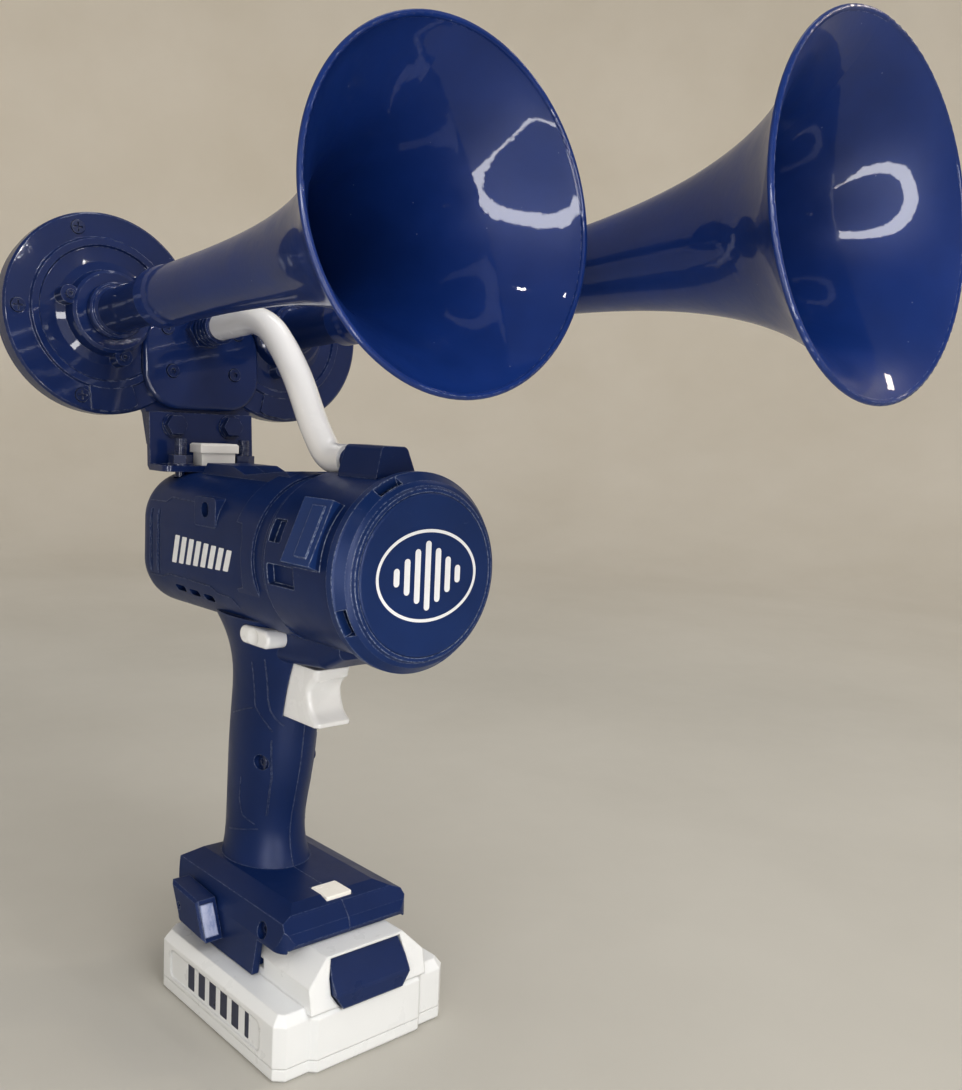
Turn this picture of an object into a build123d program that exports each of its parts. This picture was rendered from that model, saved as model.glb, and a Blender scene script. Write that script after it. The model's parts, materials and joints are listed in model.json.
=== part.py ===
"""Cordless twin-trumpet horn gun.

A drill-style body holds a motor and a vane pump. A hose takes the air to two diaphragm horns that
stand on a bracket on top of the body. The battery slides on under the foot.

Millimetres. The origin is the centre of the battery's flat underside. +X is the way the trumpets
blow, +Y is the tool's left side and +Z is up.
"""
import os
from math import cos, exp, pi, radians, sin, sqrt, tan

from build123d import *

os.makedirs("parts", exist_ok=True)

# ---------------------------------------------------------------- driving dimensions
FIT = 0.05          # radial clearance of a running fit
GAP = 0.3           # clearance between pieces that move past each other

# battery
BAT_FRONT = 53.3
BAT_HALF_W = 43.5
BAT_WALL = 2.4
BAT_SEAM_Z = 6.0
BAT_SHOULDER_Z = 23.5
BAT_RAIL_Z = 27.5
BAT_TOP = 46.0
BAT_BLOCK_BACK = -46.6
CELL_R = 9.15
CELL_LENGTH = 64.0
CELL_PITCH = 19.0
RELEASE_TRAVEL = 3.5

# foot and grip
FOOT_BACK = -60.0
FOOT_FRONT = 37.0
FOOT_UNDER = BAT_TOP + 0.4
FOOT_TOP = 60.5
SKIRT_LOW = BAT_RAIL_Z + 0.5
SKIRT_HALF_W = 33.2
SKIRT_WALL = 3.2
LENS_X = 22.0
GRIP_SECTIONS = [          # height, centre x, half length, half width
    (56.0, -32.0, 27.0, 21.5),
    (66.0, -33.0, 22.5, 17.8),
    (80.0, -33.3, 21.8, 16.8),
    (100.0, -31.0, 24.2, 17.0),
    (120.0, -28.8, 25.6, 17.2),
    (142.0, -25.8, 26.2, 17.6),
    (158.0, -24.0, 29.5, 19.5),
    (176.0, -24.0, 42.0, 25.0),
]
GRIP_WALL = 3.0

# motor barrel, drum and front cap
AXIS_Z = 206.0
BARREL_BACK = -108.0
BARREL_FRONT = 21.0
BARREL_HALF_W = 31.0
BARREL_LOW = 171.0
BARREL_TOP = 236.0
BARREL_BORE_R = 26.6
SPINE_TOP = 241.0
DRUM_R = 36.8
DRUM_FRONT = 71.0
CAP_R = 39.5
CAP_FACE = 79.0
FACE_R = 32.0

# controls
TRIGGER_TRAVEL = 6.5
TRIGGER_HALF_W = 9.0
SELECTOR_TRAVEL = 3.0
SELECTOR_Z = 169.5
SELECTOR_X = -7.0

# motor and vane pump
SHAFT_R = 4.0
CAN_R = 26.2
ROTOR_R = 23.9
PUMP_OFFSET = 3.0
PUMP_BORE_R = 27.0

# horns
HORN_TILT = 4.2
HORN_X = -106.3
HORN_Z = 308.6
HORN_Y = 47.8
DISC_R = 46.8
SHORT_MOUTH = 251.5
SHORT_MOUTH_R = 55.8
LONG_MOUTH = 333.2
LONG_MOUTH_R = 57.7
TRUMPET_WALL = 1.6
TRUMPET_START = 56.0
NECK_R = 10.2
STUD_X = -90.6
STUD_Y = 17.0
FLANGE_Z = 237.0

# air hose
HOSE_R = 6.5
HOSE_BORE_R = 4.2
HOSE_END_X = 25.5
HOSE_END_Z = 247.5


def horn_plane(y):
    """A plane with x along a trumpet's axis and y upwards across it."""
    tilt = radians(HORN_TILT)
    return Plane(origin=(HORN_X, y, HORN_Z), x_dir=(cos(tilt), 0, sin(tilt)), z_dir=(0, -1, 0))


def disc_plane(s, y=0.0):
    """A plane across the trumpet axis at distance s: its x is +Y and its y is up."""
    tilt = radians(HORN_TILT)
    centre = (HORN_X + s * cos(tilt), y, HORN_Z + s * sin(tilt))
    return Plane(origin=centre, x_dir=(0, 1, 0), z_dir=(cos(tilt), 0, sin(tilt)))


def horn_axis(y):
    """The axis of the trumpet at side y."""
    tilt = radians(HORN_TILT)
    return Axis(origin=(HORN_X, y, HORN_Z), direction=(cos(tilt), 0, sin(tilt)))


def cross_plane(x):
    """A plane across the tool at x: its x is +Y and its y is +Z."""
    return Plane.YZ.offset(x)


PUMP_AXIS = Axis(origin=(0, 0, AXIS_Z), direction=(1, 0, 0))
AXIAL_PLANE = Plane(origin=(0, 0, AXIS_Z), x_dir=(1, 0, 0), z_dir=(0, -1, 0))

# ================================================================ battery
with BuildSketch() as battery_plan:
    with BuildLine():
        Polyline(
            (BAT_FRONT, 0),
            (BAT_FRONT, 26.0),
            (50.8, 28.5),
            (50.8, BAT_HALF_W - 4.0),
            (47.0, BAT_HALF_W),
            (-47.5, BAT_HALF_W),
            (-BAT_FRONT, BAT_HALF_W - 6.0),
            (-BAT_FRONT, 0),
        )
        mirror(about=Plane.XZ)
    make_face()

with BuildSketch() as battery_inside:
    add(battery_plan.sketch)
    offset(amount=-BAT_WALL, kind=Kind.INTERSECTION)

BAT_FLOOR = 2.4
BOSS_X = 42.0
BOSS_Y = 36.2
BOSS_R = 3.2
CASE_SCREW_R = 1.45
CASE_BOSSES = [(x, y) for x in (-BOSS_X, BOSS_X) for y in (-BOSS_Y, BOSS_Y)]

with BuildPart() as battery_lower_case:
    with BuildSketch():
        add(battery_plan.sketch)
    extrude(amount=BAT_SEAM_Z)
    chamfer(battery_lower_case.faces().sort_by(Axis.Z)[0].edges(), 1.2)
    with BuildSketch(Plane.XY.offset(BAT_FLOOR)):
        add(battery_inside.sketch)
    extrude(amount=BAT_SEAM_Z - BAT_FLOOR, mode=Mode.SUBTRACT)
    with BuildSketch(Plane.XY.offset(BAT_FLOOR)):
        with Locations(*CASE_BOSSES):
            Circle(BOSS_R)
    extrude(amount=BAT_SEAM_Z - BAT_FLOOR)
    with Locations(*[Location((x, y, 0), (180, 0, 0)) for x, y in CASE_BOSSES]):
        CounterBoreHole(radius=CASE_SCREW_R + FIT, counter_bore_radius=2.9, counter_bore_depth=2.2)
battery_lower_case.part.label = "battery_lower_case"
export_step(battery_lower_case.part, "parts/battery_lower_case.step")

# the upper case is a tray turned over, with the rail block on its back
BLOCK_SECTION = [
    (-29.4, BAT_RAIL_Z - 2.0),
    (29.4, BAT_RAIL_Z - 2.0),
    (29.4, 36.0),
    (19.6, BAT_TOP),
    (-19.6, BAT_TOP),
    (-29.4, 36.0),
]
CELL_ROOF_Z = 21.5
RELEASE_OUTLINE = [(14.8, 24.8), (18.9, 31.0), (18.9, 37.5), (17.4, 44.5)]
RELEASE_BACK = 42.0
POCKET_BACK = RELEASE_BACK - RELEASE_TRAVEL - 1.0
SLOT_YS = [-15.0, -5.0, 5.0, 15.0]
SLOT_FRONT = -20.0
SLOT_LOW = 38.5
SLOT_WIDTH = 2.4

with BuildPart() as battery_upper_case:
    with BuildSketch(Plane.XY.offset(BAT_SEAM_Z)):
        add(battery_plan.sketch)
    extrude(amount=BAT_SHOULDER_Z - BAT_SEAM_Z)
    with BuildSketch(Plane.XY.offset(BAT_SHOULDER_Z)):
        add(battery_plan.sketch)
    with BuildSketch(Plane.XY.offset(BAT_RAIL_Z)):
        add(battery_plan.sketch)
        offset(amount=-3.0, kind=Kind.INTERSECTION)
    loft()
    with BuildSketch(cross_plane(BAT_BLOCK_BACK)):
        Polygon(*BLOCK_SECTION, align=None)
    extrude(amount=BAT_FRONT - BAT_BLOCK_BACK)
    # the front slopes back above the release button's foot
    with BuildSketch(Plane.XZ):
        Polygon((BAT_FRONT, 24.0), (47.6, 50.0), (70.0, 50.0), (70.0, 24.0), align=None)
    extrude(amount=50.0, both=True, mode=Mode.SUBTRACT)
    # room for the cells, and for the board above them
    with BuildSketch(Plane.XY.offset(BAT_SEAM_Z)):
        add(battery_inside.sketch)
    extrude(amount=CELL_ROOF_Z - BAT_SEAM_Z, mode=Mode.SUBTRACT)
    with BuildSketch(cross_plane(-43.0)):
        Polygon((-25, 20), (25, 20), (25, 33.5), (21, 36.5), (-21, 36.5), (-25, 33.5), align=None)
    extrude(amount=75.0, mode=Mode.SUBTRACT)
    # pocket of the release button
    with BuildSketch(cross_plane(POCKET_BACK)):
        Polygon(
            *[(-y, z) for y, z in RELEASE_OUTLINE],
            *[(y, z) for y, z in reversed(RELEASE_OUTLINE)],
            align=None,
        )
        offset(amount=0.5, kind=Kind.INTERSECTION)
    extrude(amount=30.0, mode=Mode.SUBTRACT)
    # rail grooves and terminal slots, open at the back
    for side in (-1, 1):
        with BuildSketch(cross_plane(BAT_BLOCK_BACK)):
            with Locations((side * 28.4, 33.0)):
                Rectangle(4.4, 4.4)
        extrude(amount=62.6, mode=Mode.SUBTRACT)
    with BuildSketch(cross_plane(BAT_BLOCK_BACK)):
        with Locations(*[(y, (SLOT_LOW + BAT_TOP + 1) / 2) for y in SLOT_YS]):
            Rectangle(SLOT_WIDTH, BAT_TOP + 1 - SLOT_LOW)
    extrude(amount=SLOT_FRONT - BAT_BLOCK_BACK, mode=Mode.SUBTRACT)
    # screw bosses
    with BuildSketch(Plane.XY.offset(BAT_SEAM_Z)):
        with Locations(*CASE_BOSSES):
            Circle(BOSS_R)
    extrude(amount=CELL_ROOF_Z - BAT_SEAM_Z + 0.5)
    with BuildSketch(Plane.XY.offset(BAT_SEAM_Z)):
        with Locations(*CASE_BOSSES):
            Circle(CASE_SCREW_R)
    extrude(amount=14.0, mode=Mode.SUBTRACT)
    # shallow label panels on the long sides
    for side in (-1, 1):
        with BuildSketch(Plane.XZ.offset(-side * BAT_HALF_W)):
            with Locations((-2.0, 14.6)):
                RectangleRounded(78.0, 13.0, 3.0)
        extrude(amount=side * 0.7, mode=Mode.SUBTRACT)
battery_upper_case.part.label = "battery_upper_case"
export_step(battery_upper_case.part, "parts/battery_upper_case.step")

CELL_Z = BAT_FLOOR + CELL_R + 0.1
CELL_XS = [CELL_PITCH * i for i in range(-2, 3)]

with BuildPart() as battery_cells:
    for index, x in enumerate(CELL_XS):
        end = 1 if index % 2 else -1
        with BuildSketch(Plane.XZ.offset(CELL_LENGTH / 2)):
            with Locations((x, CELL_Z)):
                Circle(CELL_R)
        extrude(amount=-CELL_LENGTH)
        with BuildSketch(Plane.XZ.offset(-end * CELL_LENGTH / 2)):
            with Locations((x, CELL_Z)):
                Circle(3.2)
        extrude(amount=-end * 0.9)
battery_cells.part.label = "battery_cells"
export_step(battery_cells.part, "parts/battery_cells.step")

with BuildPart() as cell_straps:
    for side in (-1, 1):
        with BuildSketch(Plane.XZ.offset(-side * (CELL_LENGTH / 2 + 0.9))):
            for x in CELL_XS[:-1]:
                with Locations((x + CELL_PITCH / 2, CELL_Z)):
                    RectangleRounded(CELL_PITCH + 6.0, 7.0, 1.2)
        extrude(amount=-side * 0.25)
cell_straps.part.label = "cell_straps"
export_step(cell_straps.part, "parts/cell_straps.step")

with BuildPart() as battery_board:
    with BuildSketch(Plane.XY.offset(25.0)):
        with Locations((-5.5, 0)):
            Rectangle(72.0, 44.0)
    extrude(amount=1.6)
    with BuildSketch(Plane.XY.offset(26.6)):
        with Locations((-22, -10), (-22, 10)):
            Rectangle(10.0, 8.0)
        with Locations((5, 0), (20, -12)):
            Rectangle(7.0, 7.0)
    extrude(amount=3.0)
battery_board.part.label = "battery_board"
export_step(battery_board.part, "parts/battery_board.step")

with BuildPart() as battery_terminals:
    with BuildSketch(Plane.XY.offset(SLOT_LOW)):
        with Locations(*[(-34.0, y + side * 0.95) for y in SLOT_YS for side in (-1, 1)]):
            Rectangle(20.0, 0.3)
    extrude(amount=6.5)
battery_terminals.part.label = "battery_terminals"
export_step(battery_terminals.part, "parts/battery_terminals.step")

with BuildPart() as battery_screws:
    with BuildSketch(Plane.XY.offset(0.4)):
        with Locations(*CASE_BOSSES):
            Circle(2.7)
    extrude(amount=1.8)
    with BuildSketch(Plane.XY.offset(2.2)):
        with Locations(*CASE_BOSSES):
            Circle(CASE_SCREW_R - FIT)
    extrude(amount=16.0)
    with BuildSketch(Plane.XY.offset(0.4)):
        with Locations(*CASE_BOSSES):
            RegularPolygon(1.3, 6)
    extrude(amount=1.0, mode=Mode.SUBTRACT)
battery_screws.part.label = "battery_screws"
export_step(battery_screws.part, "parts/battery_screws.step")

with BuildPart() as release_button:
    with BuildSketch(cross_plane(RELEASE_BACK)):
        Polygon(
            *[(-y, z) for y, z in RELEASE_OUTLINE],
            *[(y, z) for y, z in reversed(RELEASE_OUTLINE)],
            align=None,
        )
    extrude(amount=13.2)
    # the upper face slopes back into the case
    with BuildSketch(Plane.XZ):
        Polygon((55.3, 31.5), (46.9, 45.0), (70.0, 45.0), (70.0, 31.5), align=None)
    extrude(amount=50.0, both=True, mode=Mode.SUBTRACT)
    front_edges = release_button.edges().filter_by(lambda e: e.center().X > 50.0)
    chamfer(front_edges.filter_by(Axis.Y), 0.6)
    # seats of the two return springs
    with BuildSketch(cross_plane(RELEASE_BACK)):
        with Locations((-8.0, 34.0), (8.0, 34.0)):
            Circle(3.3)
    extrude(amount=3.0, mode=Mode.SUBTRACT)
release_button.part.label = "release_button"
export_step(release_button.part, "parts/release_button.step")


def coil(radius, pitch, height, origin, direction, wire_r):
    """A coil spring as a round wire swept along a helix."""
    helix = Helix(pitch=pitch, height=height, radius=radius, center=origin, direction=direction)
    section = Plane(origin=helix @ 0, z_dir=helix % 0) * Circle(wire_r)
    return sweep(section, path=helix)


release_coils = [coil(2.6, 2.1, 6.3, (POCKET_BACK + 0.6, y, 34.0), (1, 0, 0), 0.45) for y in (-8.0, 8.0)]
with BuildPart() as release_springs:
    add(release_coils)
release_springs.part.label = "release_springs"
export_step(release_springs.part, "parts/release_springs.step")

# ================================================================ tool housing
GRIP_TOP = GRIP_SECTIONS[-1][0]
FOOT_ROOF = 2.6
FOOT_HOLLOW_Z = FOOT_UNDER + FOOT_ROOF
SELECTOR_LENGTH = 24.0
SELECTOR_HEIGHT = 8.0
TRIGGER_LOW = 133.0
TRIGGER_TOP = 158.0
BODY_SCREWS = [(-38.5, 222.0, 29.5), (-15.5, 110.0, 14.0), (19.0, 49.8, 31.5)]   # x, z, y of the head
COLLAR_BACK = -9.0
COLLAR_R = 34.8

with BuildPart() as collar:
    with BuildSketch(cross_plane(COLLAR_BACK)):
        with Locations((0, AXIS_Z)):
            Circle(COLLAR_R)
    extrude(amount=BARREL_FRONT - COLLAR_BACK)
    # the back edge of the collar steps forward at mid height
    with BuildSketch(Plane.XZ):
        Polygon((-12, 190), (-3.5, 192), (-1.0, 199), (-1.0, 213), (-4.5, 219), (-12, 219.5), align=None)
    extrude(amount=50.0, both=True, mode=Mode.SUBTRACT)
    # two stepped bands towards the front
    with BuildSketch(AXIAL_PLANE):
        Polygon((8.0, COLLAR_R - 1.2), (8.0, 40.0), (17.5, 40.0), (16.0, COLLAR_R - 1.2), align=None)
    revolve(axis=PUMP_AXIS, mode=Mode.SUBTRACT)

with BuildPart() as housing:
    # motor barrel
    with BuildSketch(cross_plane(BARREL_BACK)):
        with Locations((0, (BARREL_LOW + BARREL_TOP) / 2)):
            RectangleRounded(2 * BARREL_HALF_W, BARREL_TOP - BARREL_LOW, 23.0)
    extrude(amount=BARREL_FRONT - BARREL_BACK)
    fillet(housing.faces().sort_by(Axis.X)[0].edges(), 12.0)
    add(collar.part)
    # spine along the top
    with BuildSketch(Plane.XZ):
        Polygon(
            (-80.0, 232.0),
            (-73.0, SPINE_TOP),
            (-50.0, SPINE_TOP),
            (-38.0, SPINE_TOP - 3.5),
            (-4.0, SPINE_TOP),
            (7.0, 234.0),
            align=None,
        )
    extrude(amount=12.0, both=True)
    # nose under the drum
    with BuildSketch(Plane.XZ):
        Polygon((-12, 178), (46, 178), (42, 167), (30, 161), (12, 159.2), (-12, 157), align=None)
    extrude(amount=15.0, both=True)
    front_edges = housing.edges().filter_by(lambda e: e.center().X > 12 and e.center().Z < 168)
    fillet(front_edges.filter_by(lambda e: abs(e.center().Y) > 14), 5.0)
    # grip
    for height, centre, half_length, half_width in GRIP_SECTIONS:
        with BuildSketch(Plane.XY.offset(height)):
            with Locations((centre, 0)):
                Ellipse(half_length, half_width)
    loft()
    # screw pads on the barrel
    for side in (-1, 1):
        with BuildSketch(Plane.XZ.offset(-side * 24.0)):
            with Locations((-38.5, 221.0)):
                RectangleRounded(19.0, 13.0, 1.5)
        extrude(amount=-side * 7.4)
    # foot: a crowned section drawn along X, with its corners rounded in plan
    with BuildSketch(cross_plane(FOOT_BACK)):
        Polygon(
            (-SKIRT_HALF_W, SKIRT_LOW),
            (-SKIRT_HALF_W, 46.5),
            (-30.6, 56.8),
            (-21.0, FOOT_TOP),
            (21.0, FOOT_TOP),
            (30.6, 56.8),
            (SKIRT_HALF_W, 46.5),
            (SKIRT_HALF_W, SKIRT_LOW),
            align=None,
        )
    foot = extrude(amount=FOOT_FRONT - FOOT_BACK, mode=Mode.PRIVATE)
    with BuildSketch(Plane.XY.offset(SKIRT_LOW)):
        with Locations(((FOOT_FRONT + FOOT_BACK) / 2, 0)):
            RectangleRounded(FOOT_FRONT - FOOT_BACK, 2 * SKIRT_HALF_W, 8.0)
    foot_plan = extrude(amount=40.0, mode=Mode.PRIVATE)
    with BuildSketch(Plane.XZ):
        Polygon(
            (FOOT_BACK, SKIRT_LOW),
            (13.0, SKIRT_LOW),
            (16.5, 45.0),
            (FOOT_FRONT - 2.0, 45.0),
            (FOOT_FRONT, 48.5),
            (FOOT_FRONT - 1.5, 53.0),
            (30.5, 58.6),
            (20.0, FOOT_TOP + 1),
            (-52.0, FOOT_TOP + 1),
            (FOOT_BACK, 55.0),
            align=None,
        )
    foot_side = extrude(amount=50.0, both=True, mode=Mode.PRIVATE)
    add(foot & foot_plan & foot_side)

    # space for the battery's rail block, with two rails left standing on the skirts
    with BuildSketch(cross_plane(BAT_BLOCK_BACK - 0.6)):
        Polygon((-30.0, 20), (-30.0, FOOT_UNDER), (30.0, FOOT_UNDER), (30.0, 20), align=None)
    extrude(amount=100.0, mode=Mode.SUBTRACT)
    for side in (-1, 1):
        with BuildSketch(cross_plane(BAT_BLOCK_BACK - 0.6)):
            with Locations((side * 28.6, 33.0)):
                Rectangle(3.6, 3.4)
        extrude(amount=60.0)
    # hollow of the foot, grip and barrel
    with BuildSketch(Plane.XY.offset(FOOT_HOLLOW_Z)):
        with Locations((-11.0, 0)):
            Rectangle(84.0, 50.0)
    extrude(amount=FOOT_TOP - 2.8 - FOOT_HOLLOW_Z, mode=Mode.SUBTRACT)
    with BuildSketch(Plane.XY.offset(FOOT_UNDER - 1)):
        with Locations((-32.0, 0)):
            Rectangle(24.0, 36.0)
    extrude(amount=FOOT_ROOF + 2, mode=Mode.SUBTRACT)
    for height, centre, half_length, half_width in GRIP_SECTIONS:
        with BuildSketch(Plane.XY.offset(height)):
            with Locations((centre, 0)):
                Ellipse(half_length - GRIP_WALL, half_width - GRIP_WALL)
    loft(mode=Mode.SUBTRACT)
    with BuildSketch(Plane.XY.offset(GRIP_TOP - 1)):
        with Locations((-24.0, 0)):
            Rectangle(56.0, 34.0)
    extrude(amount=8.0, mode=Mode.SUBTRACT)
    with BuildSketch(cross_plane(BARREL_BACK + 4.0)):
        with Locations((0, AXIS_Z)):
            Circle(BARREL_BORE_R)
    extrude(amount=BARREL_FRONT - BARREL_BACK, mode=Mode.SUBTRACT)
    # seat of the drum
    with BuildSketch(cross_plane(BARREL_FRONT)):
        with Locations((0, AXIS_Z)):
            Circle(DRUM_R)
    extrude(amount=60.0, mode=Mode.SUBTRACT)
    # openings of the trigger, the selector and the lens
    with BuildSketch(Plane.XZ):
        Polygon(
            (-20.0, TRIGGER_LOW - GAP),
            (24.0, TRIGGER_LOW - GAP),
            (24.0, TRIGGER_TOP + GAP),
            (-20.0, TRIGGER_TOP + GAP),
            align=None,
        )
    extrude(amount=TRIGGER_HALF_W + GAP, both=True, mode=Mode.SUBTRACT)
    with BuildSketch(Plane.XZ):
        with Locations((SELECTOR_X, SELECTOR_Z)):
            SlotOverall(SELECTOR_LENGTH + 2 * GAP, SELECTOR_HEIGHT + 2 * GAP)
    extrude(amount=50.0, both=True, mode=Mode.SUBTRACT)
    with BuildSketch(Plane.XY.offset(FOOT_TOP - 3)):
        with Locations((LENS_X, 0)):
            Rectangle(13.4, 13.4)
    extrude(amount=6.0, mode=Mode.SUBTRACT)
    # holes for the two studs
    with BuildSketch(Plane.XY.offset(BARREL_TOP - 5)):
        with Locations((STUD_X, -STUD_Y), (STUD_X, STUD_Y)):
            Circle(3.0)
    extrude(amount=8.0, mode=Mode.SUBTRACT)
    # screw wells on both sides
    for x, z, y in BODY_SCREWS:
        for side in (-1, 1):
            with BuildSketch(Plane.XZ.offset(-side * (y - 2.5))):
                with Locations((x, z)):
                    Circle(3.5)
            extrude(amount=-side * 12.0, mode=Mode.SUBTRACT)
    # finger ribs at the back of the barrel and cooling slots low on its sides
    for side in (-1, 1):
        with BuildSketch(Plane.XZ.offset(-side * (BARREL_HALF_W - 0.9))):
            with Locations((-84.0, 202.5), (-91.5, 202.5)):
                SlotOverall(32.0, 3.2, rotation=90)
        extrude(amount=-side * 5.0, mode=Mode.SUBTRACT)
        with BuildSketch(Plane.XZ.offset(-side * (BARREL_HALF_W - 9.0))):
            with Locations((-66.0, 183.0), (-53.0, 182.5), (-40.0, 182.0)):
                SlotOverall(9.5, 3.0)
        extrude(amount=-side * 12.0, mode=Mode.SUBTRACT)

SEAM = 0.06
with BuildPart() as housing_right:
    add(housing.part)
    split(bisect_by=Plane.XZ.offset(SEAM), keep=Keep.TOP)
housing_right.part.label = "housing_right"
export_step(housing_right.part, "parts/housing_right.step")

with BuildPart() as housing_left:
    add(housing.part)
    split(bisect_by=Plane.XZ.offset(-SEAM), keep=Keep.BOTTOM)
housing_left.part.label = "housing_left"
export_step(housing_left.part, "parts/housing_left.step")

# ================================================================ pieces held in the housing
with BuildPart() as work_light_lens:
    with BuildSketch(Plane.XY.offset(FOOT_TOP - 3)):
        with Locations((LENS_X, 0)):
            RectangleRounded(13.0, 13.0, 1.0)
    extrude(amount=3.2)
    chamfer(work_light_lens.faces().sort_by(Axis.Z)[-1].edges(), 0.3)
work_light_lens.part.label = "work_light_lens"
export_step(work_light_lens.part, "parts/work_light_lens.step")

with BuildPart() as light_board:
    with BuildSketch(Plane.XY.offset(FOOT_HOLLOW_Z + 1.0)):
        with Locations((LENS_X - 2, 0)):
            Rectangle(20.0, 30.0)
    extrude(amount=1.6)
    with BuildSketch(Plane.XY.offset(FOOT_HOLLOW_Z + 2.6)):
        with Locations((LENS_X, 0)):
            Rectangle(5.0, 5.0)
    extrude(amount=2.0)
    with BuildSketch(Plane.XY.offset(FOOT_HOLLOW_Z)):
        with Locations((LENS_X - 8, -10), (LENS_X - 8, 10), (LENS_X + 4, -10), (LENS_X + 4, 10)):
            Circle(2.0)
    extrude(amount=1.0)
light_board.part.label = "light_board"
export_step(light_board.part, "parts/light_board.step")

BLADE_LOW = SLOT_LOW + 1.0
with BuildPart() as terminal_block:
    with BuildSketch(Plane.XY.offset(FOOT_HOLLOW_Z)):
        with Locations((-32.0, 0)):
            Rectangle(28.0, 42.0)
    extrude(amount=4.0)
    with BuildSketch(Plane.XY.offset(BAT_TOP + 0.8)):
        with Locations((-32.0, 0)):
            Rectangle(23.0, 35.0)
    extrude(amount=FOOT_HOLLOW_Z - BAT_TOP - 0.8)
    with BuildSketch(Plane.XY.offset(BLADE_LOW)):
        with Locations(*[(-32.0, y) for y in SLOT_YS]):
            Rectangle(14.0, 0.8)
    extrude(amount=BAT_TOP + 1 - BLADE_LOW)
terminal_block.part.label = "terminal_block"
export_step(terminal_block.part, "parts/terminal_block.step")

CLIP_SIDE = [(-43.7, 52.8), (-19.6, 50.9), (-12.0, 34.5), (-35.0, 36.0)]
CLIP_INNER = SKIRT_HALF_W + 0.1
CLIP_DEPTH = 9.3
CLIP_SCREW = (-35.5, 43.5)
CLIP_FACE = Plane(origin=(-15.8, -CLIP_INNER - 4.9, 42.7), x_dir=(0, 1, 0), z_dir=(16.4, 0, 7.6))
with BuildPart() as clip_block:
    with BuildSketch(Plane.XZ.offset(CLIP_INNER)):
        Polygon(*CLIP_SIDE, align=None)
    extrude(amount=CLIP_DEPTH)
    chamfer(clip_block.faces().sort_by(Axis.Y)[0].edges(), 1.2)
    with BuildSketch(Plane.XZ.offset(CLIP_INNER + 4.0)):
        with Locations(CLIP_SCREW):
            Circle(1.7)
    extrude(amount=10.0, mode=Mode.SUBTRACT)
    # seat of the pad on the leaning front end
    with BuildSketch(CLIP_FACE):
        Rectangle(6.4, 14.2)
    extrude(amount=2.0, both=True, mode=Mode.SUBTRACT)
clip_block.part.label = "clip_block"
export_step(clip_block.part, "parts/clip_block.step")

with BuildPart() as clip_pad:
    with BuildSketch(CLIP_FACE):
        Rectangle(6.2, 14.0)
    extrude(amount=-1.8)
    with BuildSketch(CLIP_FACE):
        Rectangle(6.2, 14.0)
    extrude(amount=0.6)
clip_pad.part.label = "clip_pad"
export_step(clip_pad.part, "parts/clip_pad.step")

with BuildPart() as housing_screws:
    for x, z, y in BODY_SCREWS:
        for side in (-1, 1):
            with BuildSketch(Plane.XZ.offset(-side * (y - 2.5))):
                with Locations((x, z)):
                    Circle(3.2)
            extrude(amount=-side * 1.6)
            with BuildSketch(Plane.XZ.offset(-side * (y - 0.9))):
                with Locations((x, z)):
                    RegularPolygon(1.5, 6)
            extrude(amount=side * 1.0, mode=Mode.SUBTRACT)
    # grub screw of the clip block
    with BuildSketch(Plane.XZ.offset(CLIP_INNER + 4.0)):
        with Locations(CLIP_SCREW):
            Circle(1.65)
    extrude(amount=4.9)
    with BuildSketch(Plane.XZ.offset(CLIP_INNER + 8.9)):
        with Locations(CLIP_SCREW):
            RegularPolygon(0.9, 6)
    extrude(amount=-1.2, mode=Mode.SUBTRACT)
housing_screws.part.label = "housing_screws"
export_step(housing_screws.part, "parts/housing_screws.step")

# ---------------------------------------------------------------- trigger, selector and switch
SWITCH_FRONT = -22.0
PLUNGER_Z = 152.0
SPRING_Z = 141.0
with BuildPart() as trigger:
    with BuildSketch(Plane.XZ):
        with BuildLine():
            Polyline((-12.5, TRIGGER_LOW), (-12.5, TRIGGER_TOP), (19.6, TRIGGER_TOP), (18.4, 153.4))
            Spline((18.4, 153.4), (13.4, 147.0), (15.2, 140.5), (21.0, 135.0), tangents=((-3, -2), (3, -2)))
            Polyline((21.0, 135.0), (20.6, TRIGGER_LOW), (-12.5, TRIGGER_LOW))
        make_face()
    extrude(amount=TRIGGER_HALF_W, both=True)
    fillet(trigger.edges().filter_by(lambda e: e.center().X > 12.6 and abs(e.center().Y) > 8.9), 2.4)
    # stop flange that stays inside the grip
    with BuildSketch(cross_plane(-14.5)):
        with Locations((0, 145.5)):
            Rectangle(21.4, 24.0)
    extrude(amount=2.0)
    # plunger that works the switch
    with BuildSketch(cross_plane(-26.0)):
        with Locations((0, PLUNGER_Z)):
            Circle(2.4)
    extrude(amount=12.0)
    # seat of the return spring
    with BuildSketch(cross_plane(-14.5)):
        with Locations((0, SPRING_Z)):
            Circle(4.6)
    extrude(amount=8.0, mode=Mode.SUBTRACT)
trigger.part.label = "trigger"
export_step(trigger.part, "parts/trigger.step")

trigger_coil = coil(3.4, 2.8, 14.0, (SWITCH_FRONT + 0.5, 0, SPRING_Z), (1, 0, 0), 0.5)
with BuildPart() as trigger_spring:
    add(trigger_coil)
trigger_spring.part.label = "trigger_spring"
export_step(trigger_spring.part, "parts/trigger_spring.step")

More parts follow.
